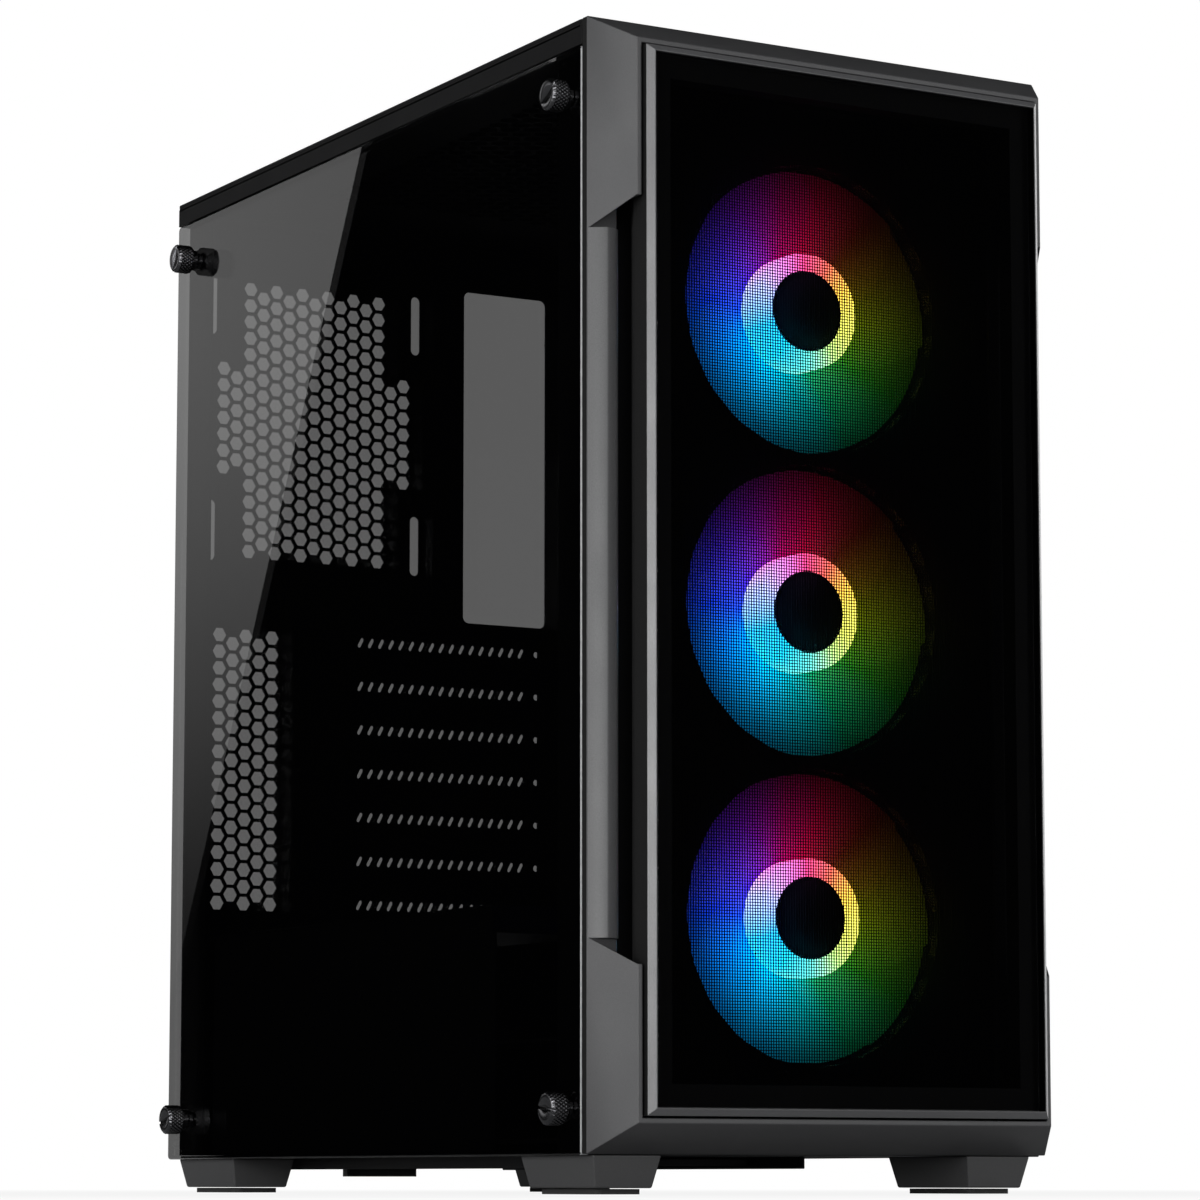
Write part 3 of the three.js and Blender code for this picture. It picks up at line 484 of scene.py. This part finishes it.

# ---- Fans -----------------------------------------------------------------------------------------
# Three 120 mm fans in black frames. Lamps in each motor light the frosted rotor from its middle: a bright
# cone round the black hub cap, and blades whose colour goes round the rainbow, with painted shade that
# dims them at the right and upper right.

fan_plastic = finish("fan_frame_plastic", (0.008, 0.008, 0.009), 0.5, grain=1600, shine=0.3)
bore_plastic = finish("fan_bore_plastic", (0.0015, 0.0015, 0.0015), 0.7, grain=1600, shine=0.02)
hub_plastic = finish("fan_hub_plastic", (0.003, 0.003, 0.0035), 0.45, grain=1600, shine=0.15)
# The rainbow is the fans' own light, but its strength by side is painted: dim at the right and upper
# right, brightest at the left and lower left.
BLADE_COLOURS_AND_PAINTED_SHADE = [  # degrees anticlockwise from the right side, as seen from the front, and colour
    (0, (0.14, 0.20, 0.00)), (25, (0.12, 0.075, 0.00)), (50, (0.10, 0.01, 0.00)),
    (80, (0.42, 0.00, 0.04)), (100, (0.40, 0.00, 0.12)), (125, (0.22, 0.01, 0.52)),
    (150, (0.07, 0.03, 0.95)), (178, (0.01, 0.09, 1.50)), (205, (0.00, 0.45, 2.00)),
    (238, (0.00, 0.75, 1.70)), (265, (0.00, 0.60, 0.80)), (292, (0.00, 0.42, 0.16)),
    (325, (0.02, 0.28, 0.01)),
]
CONE_COLOURS = [
    (0, (0.95, 0.88, 0.12)), (28, (1.00, 0.58, 0.07)), (62, (1.00, 0.15, 0.10)),
    (95, (1.00, 0.06, 0.26)), (125, (0.95, 0.24, 0.90)), (158, (0.45, 0.48, 1.00)),
    (200, (0.02, 0.50, 1.00)), (235, (0.01, 0.62, 0.98)), (270, (0.12, 0.82, 0.75)),
    (305, (0.48, 0.86, 0.24)), (335, (0.80, 0.88, 0.13)),
]
BLADE_LIGHT = [(0, 1.0), (23, 1.0), (28, 0.78), (36, 0.46), (45, 0.23), (52, 0.11), (58, 0.05)]
CONE_LIGHT = [(0, 1.0), (16, 0.9), (21, 1.0), (26, 0.62)]
LIGHT_REACH = 60  # mm, beyond the blades' tips
BLADE_GLOW = 16.0
CONE_GLOW = 26.0


def lit(name, centre, colours, strength, light):
    """Frosted plastic lit from inside. The colour follows the angle about the fan's axis. The strength
    falls with the distance r from it, along a curve through the pairs (r in mm, share) in light."""
    material = bpy.data.materials.new(name)
    nodes, link = nodes_of(material)
    place = nodes.new("ShaderNodeTexCoord").outputs["Object"]
    about = nodes.new("ShaderNodeMapping")
    about.vector_type = "TEXTURE"
    about.inputs["Location"].default_value = centre
    about.inputs["Rotation"].default_value = (math.radians(90), 0, 0)
    link(place, about.inputs["Vector"])
    angle = nodes.new("ShaderNodeTexGradient")
    angle.gradient_type = "RADIAL"
    link(about.outputs[0], angle.inputs["Vector"])
    ramp = nodes.new("ShaderNodeValToRGB")
    stops = sorted(((degrees / 360 + 0.5) % 1, colour) for degrees, colour in colours)
    stops = [(stops[-1][0] - 1, stops[-1][1]), *stops, (stops[0][0] + 1, stops[0][1])]
    elements = ramp.color_ramp.elements
    # The ramp's own two ends get the colour that the stops on both sides of the join give there.
    for (before, first), (after, second) in zip(stops, stops[1:]):
        for position in (0.0, 1.0):
            if before < position < after or (position == 0 and before < 0 <= after):
                share = (position - before) / (after - before)
                between = [p + (q - p) * share for p, q in zip(first, second)]
                elements[int(position)].color = (*between, 1)
    for position, colour in stops[1:-1]:
        elements.new(position).color = (*colour, 1)
    link(angle.outputs["Fac"], ramp.inputs["Fac"])
    flat = nodes.new("ShaderNodeVectorMath")
    flat.operation = "MULTIPLY"
    flat.inputs[1].default_value = [1 / (LIGHT_REACH * MM)] * 2 + [0]
    link(about.outputs[0], flat.inputs[0])
    distance = nodes.new("ShaderNodeVectorMath")
    distance.operation = "LENGTH"
    link(flat.outputs[0], distance.inputs[0])
    fall = nodes.new("ShaderNodeFloatCurve")
    curve = fall.mapping.curves[0]
    for _ in light[2:]:
        curve.points.new(0.5, 0.5)
    for point, (r, share) in zip(curve.points, light):
        point.location = (r / LIGHT_REACH, share)
    fall.mapping.update()
    link(distance.outputs["Value"], fall.inputs["Value"])
    power = nodes.new("ShaderNodeMath")
    power.operation = "MULTIPLY"
    power.inputs[1].default_value = strength
    link(fall.outputs[0], power.inputs[0])
    shader = nodes.new("ShaderNodeBsdfPrincipled")
    shader.inputs["Base Color"].default_value = (0.03, 0.03, 0.035, 1)
    shader.inputs["Specular IOR Level"].default_value = 0.15
    link(ranged(nodes, link, noise(nodes, link, place, 900), 0.45, 0.6), shader.inputs["Roughness"])
    link(ramp.outputs["Color"], shader.inputs["Emission Color"])
    link(power.outputs[0], shader.inputs["Emission Strength"])
    link(shader.outputs[0], nodes.new("ShaderNodeOutputMaterial").inputs["Surface"])
    return material


def turned(name, profile, origin, material, axis=1, way=1, segments=72, sharp=40, ripple=None):
    """A closed profile of (radius, place along the axis), in mm, turned about an axis through origin.
    The point at step k is at the angle 2 pi k / segments. ripple(angle, radius, place) may give the
    points another radius. way is -1 where the places run against the axis."""
    profile = np.asarray(profile, float)
    angle = np.arange(segments)[:, None] * 2 * math.pi / segments
    radius = profile[:, 0] + 0 * angle
    if ripple:
        radius = ripple(angle, radius, profile[:, 1])
    others = [k for k in range(3) if k != axis]
    points = np.zeros((*radius.shape, 3))
    points[..., others[0]] = radius * np.cos(angle) * MM
    points[..., others[1]] = radius * np.sin(angle) * MM
    points[..., axis] = way * profile[:, 1] * MM
    faces = quads(segments, len(profile), wrap_rows=True, wrap_columns=True)
    thing = new_object(name, points.reshape(-1, 3) + np.asarray(origin), faces, material)
    tidied(thing.data, sharp)
    return thing


def joined(name, things):
    """Several objects made one."""
    with bpy.context.temp_override(active_object=things[0], selected_editable_objects=things):
        bpy.ops.object.join()
    things[0].name = things[0].data.name = name
    return things[0]


BLADES = 7


def blades(name, centre, material):
    """Curved blades round a hub. s goes from 0 at the hub to 1 at the tip, and c from 0 to 1 across a
    blade. The angle is 0.5 s^1.3 + (c - 1/2)(1.5 - 0.2 s), so the blades overlap. The depth grows with
    c in a slight S, and the tips lean 11.7 s^0.8 mm forward. The roots stop 0.9 mm short of the frame's
    struts, which start 9.5 mm behind the middle. A blade is that sheet twice, closed at its edges."""
    s, c = np.meshgrid(np.linspace(0, 1, 17), np.linspace(0, 1, 17), indexing="ij")
    radius = (22.6 + s * 33.6) * MM
    turn = 0.5 * s ** 1.3 + (c - 0.5) * (1.5 - 0.2 * s)
    depth = ((c - 0.5) * (4.5 + 0.5 * s) + 0.5 * np.sin(c * 2 * math.pi) + 6.2 - 11.7 * s ** 0.8) * MM
    thick = 0.5 * MM * (1 - 0.75 * np.abs(2 * c - 1) ** 3)
    sheets = [
        np.stack([radius * np.cos(turn), depth + side * thick, radius * np.sin(turn)], -1)
        for side in (-1, 1)
    ]
    count = s.size
    grid = np.arange(count).reshape(s.shape)
    sheet = quads(*s.shape)
    edge = np.concatenate([grid[0, :-1], grid[:-1, -1], grid[-1, :0:-1], grid[:0:-1, 0]])
    after = np.roll(edge, -1)
    wall = np.stack([edge, after, after + count, edge + count], 1)
    faces = np.vstack([sheet, sheet[:, ::-1] + count, wall])
    one = np.vstack([part.reshape(-1, 3) for part in sheets])
    spin = np.arange(BLADES)[:, None] * 2 * math.pi / BLADES
    points = np.stack([
        one[:, 0] * np.cos(spin) - one[:, 2] * np.sin(spin),
        one[:, 1] + 0 * spin,
        one[:, 0] * np.sin(spin) + one[:, 2] * np.cos(spin),
    ], -1)
    faces = (faces + (np.arange(BLADES) * len(one))[:, None, None]).reshape(-1, 4)
    thing = new_object(name, points.reshape(-1, 3) + np.asarray(centre), faces, material)
    tidied(thing.data, 50)
    return thing


# Profiles of the rotor and its frame, as (radius, place behind the frame's middle) in mm. The cap ends
# in front of the motor's boss, and its shaft runs in the boss's bearing.
DRUM = [(20, 2.7), (22.9, 2.7), (22.9, 9.1), (20, 9.1)]
CONE = [(16.2, -9.5), (22.3, -9.6), (23.2, -8.7), (23.2, 2.6), (16.2, 2.6)]
BORE = [(58, -12.3), (59.4, -12.4), (59.4, 12.4), (58, 12.3)]
CAP = [(0, -9.7), (9, -9.8), (14.2, -10), (15.8, -9.7), (16.2, -9.0), (16.2, -3)]
CAP += [(1.6, -3), (1.6, 8), (0, 8)]
for level in ("lower", "middle", "upper"):
    low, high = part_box(f"fan_frame_{level}")
    centre = (low + high) / 2
    rotor = f"fan_rotor_{level}"
    eased(f"fan_frame_{level}", f"fan_frame_{level}_body", fan_plastic, "black_plastic", width=0.4)
    blade_glow = lit(f"lit_blades_{level}", centre, BLADE_COLOURS_AND_PAINTED_SHADE, BLADE_GLOW, BLADE_LIGHT)
    drum = turned(f"fan_drum_{level}", DRUM, centre, blade_glow)
    wings = joined(f"fan_blades_{level}", [blades(f"fan_blades_{level}", centre, blade_glow), drum])
    # The back of the blades is dark, so that they don't light the inside of the case.
    wings.data.materials.append(hub_plastic)
    for face in wings.data.polygons:
        face.material_index = int(face.normal.y > 0.3)
    mounted(wings, rotor, "lit_plastic", rotor)
    cone_glow = lit(f"lit_cone_{level}", centre, CONE_COLOURS, CONE_GLOW, CONE_LIGHT)
    mounted(turned(f"fan_cone_{level}", CONE, centre, cone_glow), rotor, "lit_plastic")
    bore = turned(f"fan_bore_{level}", BORE, centre, bore_plastic, segments=160)
    mounted(bore, frame["nodes"][f"fan_frame_{level}"]["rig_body"], "black_plastic")
    mounted(turned(f"fan_cap_{level}", CAP, centre, hub_plastic), rotor, "lit_plastic")

# ---- Chassis --------------------------------------------------------------------------------------
# Folded steel sheet, powder coated black. The rear panel has the standard cut-outs for the
# motherboard's sockets, seven cards and a power supply. Hexagons are punched through it for an
# exhaust fan, between four screw slots, and in a tall vent beside the cards.

black_steel = finish("powder_coated_steel", (0.011, 0.011, 0.0115), 0.5, grain=1300, depth=0.035,
                     shine=0.25)
SHEET = 1 * MM
HEX_PITCH = 7.65 * MM
HEX_RADIUS = 3.55 * MM


def many_sided(a, b, r, sides):
    """A regular outline about (a, b)."""
    angle = np.arange(sides) * 2 * math.pi / sides
    return np.stack([a + r * np.cos(angle), b + r * np.sin(angle)], 1)


def hexagons(a, b, columns, rows_of, pitch=HEX_PITCH, radius=HEX_RADIUS):
    """Hexagons in upright columns about (a, b). Column k is at a + k * pitch * sqrt(3)/2 and has
    rows_of(k) holes, centred on b."""
    return [
        many_sided(a + k * pitch * math.sqrt(3) / 2, b + (row - (rows_of(k) - 1) / 2) * pitch, radius, 6)
        for k in range(-(columns // 2), columns // 2 + 1) for row in range(rows_of(k))
    ]


def slanted_slot(a, b, length, width, lean):
    """The outline of a slot with round ends about (a, b), leaning by that angle from upright."""
    turn = np.linspace(0, math.pi, 4)
    top = np.stack([width / 2 * np.cos(turn), (length - width) / 2 + width / 2 * np.sin(turn)], 1)
    c, s = math.cos(lean), math.sin(lean)
    return np.vstack([top, -top]) @ np.array([[c, -s], [s, c]]) + (a, b)


def evaluated(thing):
    """The mesh that an object shows, with its modifiers applied or its curve filled."""
    bpy.context.view_layer.update()
    return bpy.data.meshes.new_from_object(thing.evaluated_get(bpy.context.evaluated_depsgraph_get()))


def punched(name, outline, holes, low, high, axes, material, edge=0.0):
    """A sheet with holes: a filled flat outline made solid between low and high along axes[2], with its
    rims bevelled by edge. axes[0] and axes[1] are the outline's own. Only rims sharper than 15 degrees
    are creased, so that a flat face stays a true mirror."""
    curve = bpy.data.curves.new(name, "CURVE")
    curve.dimensions = "2D"
    curve.fill_mode = "BOTH"
    curve.extrude = (high - low) / 2 - edge
    curve.bevel_depth = edge
    curve.bevel_resolution = 1 if edge else 0
    curve.offset = -edge
    for points in (outline, *holes):
        spline = curve.splines.new("POLY")
        spline.points.add(len(points) - 1)
        flat = np.column_stack([points, np.zeros(len(points)), np.ones(len(points))])
        spline.points.foreach_set("co", flat.ravel())
        spline.use_cyclic_u = True
    shape = placed(name + "_outline", curve)
    mesh = evaluated(shape)
    bpy.data.objects.remove(shape)
    bpy.data.curves.remove(curve)
    flat = np.zeros(len(mesh.vertices) * 3)
    mesh.vertices.foreach_get("co", flat)
    spots = np.zeros((len(mesh.vertices), 3))
    spots[:, list(axes)] = flat.reshape(-1, 3) + (0, 0, (low + high) / 2)
    mesh.vertices.foreach_set("co", spots.ravel())
    mesh.name = name
    mesh.materials.clear()
    mesh.materials.append(material)
    tidied(mesh, 15)
    return placed(name, mesh)


def rectangle(a0, b0, a1, b1):
    """The outline of a rectangle between two opposite corners."""
    return np.array([(a0, b0), (a1, b0), (a1, b1), (a0, b1)])


def exhaust_rows(k):
    """Holes in column k of the exhaust vent, which has short columns at both sides."""
    return (16 if abs(k) < 6 else 6) + k % 2


rear_low, rear_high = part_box("rear_panel")
MIDDLE_X = (bezel_low.x + bezel_high.x) / 2
EXHAUST = (MIDDLE_X - 36 * MM, 353 * MM)
SCREW_SPAN = 52.5 * MM  # from the exhaust fan's middle to its screw slots, both ways
CARD_TOP = 253 * MM
CARD_PITCH = 20.32 * MM
SCREW_HOLE = 2.3 * MM
holes = [  # for the motherboard's sockets, and for the power supply
    rounded(MIDDLE_X + 42.5 * MM, 266 * MM, MIDDLE_X + 86.95 * MM, 424.75 * MM, 3 * MM),
    rounded(MIDDLE_X - 72 * MM, 19 * MM, MIDDLE_X + 78 * MM, 105 * MM, 2 * MM),
]
holes += hexagons(*EXHAUST, 15, exhaust_rows)
holes += hexagons(MIDDLE_X - 70 * MM, 191.3 * MM, 5, lambda k: 17 - k % 2)
for x in (EXHAUST[0] - SCREW_SPAN, EXHAUST[0] + SCREW_SPAN):
    for z in (EXHAUST[1] - SCREW_SPAN, EXHAUST[1] + SCREW_SPAN):
        holes.append(rounded(x - 2.4 * MM, z - 14 * MM, x + 2.4 * MM, z + 14 * MM, 2.39 * MM))
for slot in range(7):
    z = CARD_TOP - CARD_PITCH * slot
    holes.append(rectangle(MIDDLE_X - 17 * MM, z - 6.5 * MM, MIDDLE_X + 83 * MM, z + 6.5 * MM))
holes.append(many_sided(MIDDLE_X - 42 * MM, CARD_TOP - 3 * CARD_PITCH, SCREW_HOLE, 16))
for z in (405 * MM, 50 * MM):
    holes.append(many_sided(MIDDLE_X + 97 * MM, z, SCREW_HOLE, 16))
rear_pieces = [punched("rear_sheet", rectangle(rear_low.x, rear_low.z, rear_high.x, rear_high.z), holes,
                       rear_high.y - SHEET, rear_high.y, (0, 2, 1), black_steel)]
screw_holes = [
    many_sided((low.y + high.y) / 2, (low.z + high.z) / 2, 3 * MM, 16)
    for low, high in (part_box("window_post_rear_upper"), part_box("window_post_rear_lower"))
]
flange = rectangle(rear_low.y, rear_low.z, rear_high.y - SHEET, rear_high.z)
for x, cut in ((rear_low.x, screw_holes), (rear_high.x - SHEET, [])):
    rear_pieces.append(punched("rear_flange", flange, cut, x, x + SHEET, (1, 2, 0), black_steel))
mounted(joined("rear_panel_sheet", rear_pieces), "chassis", "black_steel", "rear_panel")

# Seven slot covers, each with a row of slanted holes and a screw tab at its left end.
for slot in range(1, 8):
    low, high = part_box(f"slot_cover_{slot}")
    z = (low.z + high.z) / 2
    tab = low.x + 12 * MM
    half = 6 * MM
    outline = np.array([
        (low.x, z - half), (tab, z - half), (tab, low.z), (high.x, low.z),
        (high.x, high.z), (tab, high.z), (tab, z + half), (low.x, z + half),
    ])
    holes = [
        many_sided(low.x + 5 * MM, z, 2.2 * MM, 16),
        many_sided(MIDDLE_X + 81.4 * MM, z, 1.5 * MM, 12),
    ]
    for k in range(17):
        x = MIDDLE_X + (-11.8 + 5.3 * k) * MM
        holes.append(slanted_slot(x, z, 5.2 * MM, 1.9 * MM, math.radians(28)))
    cover = punched(f"slot_cover_{slot}_strip", outline, holes, low.y, high.y, (0, 2, 1), black_steel)
    mounted(cover, "chassis", "black_steel", f"slot_cover_{slot}")

for node in ("floor_pan", "front_frame", "motherboard_tray", "supply_shroud", "drive_cage",
             "slot_retainer"):
    eased(node, f"{node}_sheet", black_steel, "black_steel", width=0.25, segments=1)

# ---- Roof and its dust filter ---------------------------------------------------------------------
# The roof's deck is punched with hexagons under a framed mesh that lies in a recess. Its rim and its
# turned-down sides are rounded.

roof_low, roof_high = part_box("roof_panel")
filter_low, filter_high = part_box("top_filter")
housing_low, housing_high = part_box("control_housing")
CLEAR = 0.3 * MM
roof_steel = finish("matt_roof_steel", (0.006, 0.006, 0.0063), 0.6, grain=1300, depth=0.035, shine=0.08)
DECK_TOP = roof_high.z - 1.8 * MM
roof_outline = rounded(roof_low.x, roof_low.y, roof_high.x, roof_high.y, 1.2 * MM)
housing_hole, filter_hole = [
    rectangle(low.x - CLEAR, low.y - CLEAR, high.x + CLEAR, high.y + CLEAR)
    for low, high in ((housing_low, housing_high), (filter_low, filter_high))
]
vent = hexagons((filter_low.x + filter_high.x) / 2, (filter_low.y + filter_high.y) / 2, 15,
                lambda k: 28 - k % 2, 9.4 * MM, 4.3 * MM)
deck = punched("roof_deck", roof_outline, [housing_hole, *vent], DECK_TOP - 1.2 * MM, DECK_TOP,
               (0, 1, 2), roof_steel)
roof_rim = punched("roof_rim", roof_outline, [housing_hole, filter_hole], DECK_TOP - 0.05 * MM,
                   roof_high.z, (0, 1, 2), roof_steel, edge=0.5 * MM)
WALL = 1.5 * MM
walls = [
    extruded("roof_wall", rounded(*corners, 0.7 * MM), roof_low.z, DECK_TOP - 0.6 * MM, (0, 1, 2),
             roof_steel)
    for corners in (
        (roof_low.x, roof_low.y, roof_low.x + WALL, roof_high.y),
        (roof_high.x - WALL, roof_low.y, roof_high.x, roof_high.y),
        (roof_low.x + WALL / 2, roof_high.y - WALL, roof_high.x - WALL / 2, roof_high.y),
    )
]
mounted(joined("roof_shell", [deck, roof_rim, *walls]), "chassis", "black_steel", "roof_panel")


def framed_mesh(node, wide, extra=()):
    """A flat dust filter in place of a CAD node: a rim, wide across, round a mesh, and extra pieces."""
    low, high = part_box(node)
    top = high.z
    bottom = max(low.z, top - 2.6 * MM)
    ring = rim(f"{node}_rim", (low.x, low.y, high.x, high.y), wide, bottom, top, (0, 1, 2),
               filter_plastic)
    body = frame["nodes"][node]["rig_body"]
    mounted(joined(f"{node}_rim", [ring, *extra]), body, "filter_mesh", node)
    inset = wide - HELD
    sheet = woven(f"{node}_mesh", (low.x + inset, low.y + inset), (high.x - inset, high.y - inset),
                  (0, 1, 2), (bottom + top) / 2, filter_weave)
    mounted(sheet, body, "filter_mesh")


framed_mesh("top_filter", 5 * MM)

# ---- Side window and right panel ------------------------------------------------------------------
# The window is smoked tempered glass. Its edges are polished, but only the edge faces that look forward
# get a light grey, a painted highlight, and its other edges are as dark as its faces. The right panel is
# steel sheet, folded round the back edge.

window_smoke = smoked("smoked_window_glass", 0.684, 0.34)
edge_painted_highlight = finish("polished_glass_edge_painted_highlight", (0.34, 0.35, 0.35), 0.25, grain=500, depth=0.01)
low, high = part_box("window_glass")
holes = []
for corner in ("front_upper", "front_lower", "rear_upper", "rear_lower"):
    screw_low, screw_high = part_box(f"window_screw_{corner}")
    middle = (screw_low + screw_high) / 2
    holes.append(many_sided(middle.y, middle.z, 3.5 * MM, 24))
pane = punched("window_pane", rounded(low.y, low.z, high.y, high.z, 2 * MM), holes, low.x, high.x,
               (1, 2, 0), window_smoke, edge=0.7 * MM)
pane.data.materials.append(edge_painted_highlight)
# Edge faces that look forward take the light colour: a painted highlight.
for face in pane.data.polygons:
    face.material_index = int(face.normal.y < -0.3)
mounted(pane, "window", "tinted_glass", "window_glass")
eased("right_panel", "right_panel_sheet", black_steel, "black_steel", width=0.35)

# ---- Thumbscrews ----------------------------------------------------------------------------------
# Black nickel screws with a diamond knurl round the head and a slot across it.

screw_steel = finish("black_nickel", (0.10, 0.10, 0.105), 0.22, metal=1.0, grain=900, depth=0.01)
TEETH = 26
KNURL_STEP = 2.1  # mm along the screw
KNURL_RADIUS = 6.5  # mm, at the tips of the teeth
KNURL_DEPTH = 0.48  # mm


def tri(x):
    """A wave of straight lines between 0 and 1, with a step of 1."""
    return 1 - np.abs(2 * (x - np.floor(x)) - 1)


def thumbscrew(node, axis, way, neck, slant):
    """A thumbscrew in place of a CAD node, from its head face along the axis. Two sets of spiral grooves
    cross in the knurl: the radius is KNURL_RADIUS - KNURL_DEPTH (1 - m), where m is the smaller of
    tri(a + t) and tri(a - t), with a in teeth round the head and t in steps along it. neck says how far
    from the head face the head, the collar and the screw end, in mm, and slant turns the slot."""
    low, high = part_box(node)
    origin = (low + high) / 2
    origin[axis] = (low if way > 0 else high)[axis]
    head, collar, whole = neck
    knurl = np.arange(0.9, head - 0.6, 0.35)
    profile = [(0, 0.12), (5.0, 0), (5.6, 0.15)] + [(KNURL_RADIUS, t) for t in knurl]
    profile += [(6.2, head - 0.35), (5.9, head), (4.6, head), (4.6, collar)]
    profile += [(2, collar), (2, whole - 0.6), (1.5, whole), (0, whole)]

    def ripple(angle, radius, place):
        a = angle / (2 * math.pi) * TEETH
        t = place / KNURL_STEP
        ridge = np.minimum(tri(a + t), tri(a - t))
        return np.where(radius == KNURL_RADIUS, KNURL_RADIUS - KNURL_DEPTH * (1 - ridge), radius)

    screw = turned(f"{node}_turned", profile, origin, screw_steel, axis, way, TEETH * 6, 60, ripple)
    # The slot, 1.1 mm deep and 1.3 mm wide, runs right across the head.
    half = np.full(3, 7.5 * MM)
    half[axis] = 1.1 * MM
    half[2 if axis == 1 else 1] = 0.65 * MM
    corners = np.array([[x, y, z] for x in (-1, 1) for y in (-1, 1) for z in (-1, 1)]) * half
    turn = Matrix.Rotation(slant, 3, "X" if axis == 0 else "Y")
    box = [(0, 1, 3, 2), (4, 6, 7, 5), (0, 4, 5, 1), (2, 3, 7, 6), (0, 2, 6, 4), (1, 5, 7, 3)]
    cutter = new_object("slot_cutter", [turn @ Vector(p) + origin for p in corners], box, screw_steel)
    tidied(cutter.data, 30)
    cut = screw.modifiers.new("slot", "BOOLEAN")
    cut.object = cutter
    cut.operation = "DIFFERENCE"
    cut.solver = "EXACT"
    mesh = evaluated(screw)
    screw.modifiers.clear()
    screw.data = mesh
    bpy.data.objects.remove(cutter)
    mounted(screw, node, "screw_steel", node)


SLANTS = {"front_upper": 60, "front_lower": 96, "rear_upper": 20, "rear_lower": 75}  # degrees
for corner, degrees in SLANTS.items():
    thumbscrew(f"window_screw_{corner}", 0, 1, (7.5, 9.7, 22), math.radians(degrees))
    eased(f"window_post_{corner}", f"window_post_{corner}_turned", screw_steel, "screw_steel", width=0.3)
for node, degrees in (("panel_screw_upper", 35), ("panel_screw_lower", 80), ("retainer_screw", 10)):
    low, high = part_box(node)
    whole = (high.y - low.y) / MM
    thumbscrew(node, 1, -1, (whole - 5.2, whole - 4.3, whole), math.radians(degrees))

# ---- Underside ------------------------------------------------------------------------------------
# Four tapered plastic feet on rubber pads, and the power supply's dust filter in its runners.

black_plastic = finish("black_moulded_plastic", (0.044, 0.044, 0.045), 0.46, grain=1900, depth=0.04)
pad_rubber = finish("pad_rubber", (0.012, 0.012, 0.012), 0.85, grain=1400)
for corner in ("front_left", "front_right", "rear_left", "rear_right"):
    eased(f"foot_{corner}", f"foot_{corner}_block", black_plastic, "black_plastic", width=0.7, segments=3)
    eased(f"foot_pad_{corner}", f"foot_pad_{corner}_rubber", pad_rubber, "pad_rubber", width=0.4)
low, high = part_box("bottom_filter")
middle = (low.x + high.x) / 2
grip = rounded(middle - 18 * MM, high.y - 6 * MM, middle + 18 * MM, high.y, 1.5 * MM)
tab = extruded("bottom_filter_tab", grip, low.z, high.z, (0, 1, 2), filter_plastic)
framed_mesh("bottom_filter", 6 * MM, [tab])

# ---- Inside, and the controls ---------------------------------------------------------------------
# Plastic trays and brackets, the fans' lighting hub, and the buttons and sockets at the roof's front.

nickel = finish("nickel_plate", (0.55, 0.55, 0.55), 0.3, metal=1.0, grain=900, depth=0.01)
board_green = finish("solder_mask", (0.01, 0.06, 0.025), 0.4, grain=700)
for node in ("drive_tray_lower", "drive_tray_upper", "drive_bracket_lower", "drive_bracket_upper",
             "lighting_hub", "audio_jack"):
    eased(node, f"{node}_moulding", black_plastic, "black_plastic", width=0.3)
eased("control_housing", "control_housing_moulding", black_plastic, "black_plastic", width=0.15,
      segments=1)
for node in ("power_button", "reset_button"):
    button = eased(node, f"{node}_moulding", black_plastic, "black_plastic", width=0.1, segments=1)
    # The underside is raised, so that the button, pressed in, stops clear of its well's floor.
    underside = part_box(node)[0].z + 0.2 * MM
    for point in button.data.vertices:
        if point.co.z < underside:
            point.co.z += 0.1 * MM
for node in ("usb_port_1", "usb_port_2"):
    eased(node, f"{node}_shell", nickel, "bare_steel", width=0.15)
eased("control_board", "control_board_sheet", board_green, "circuit_board", width=0.1)
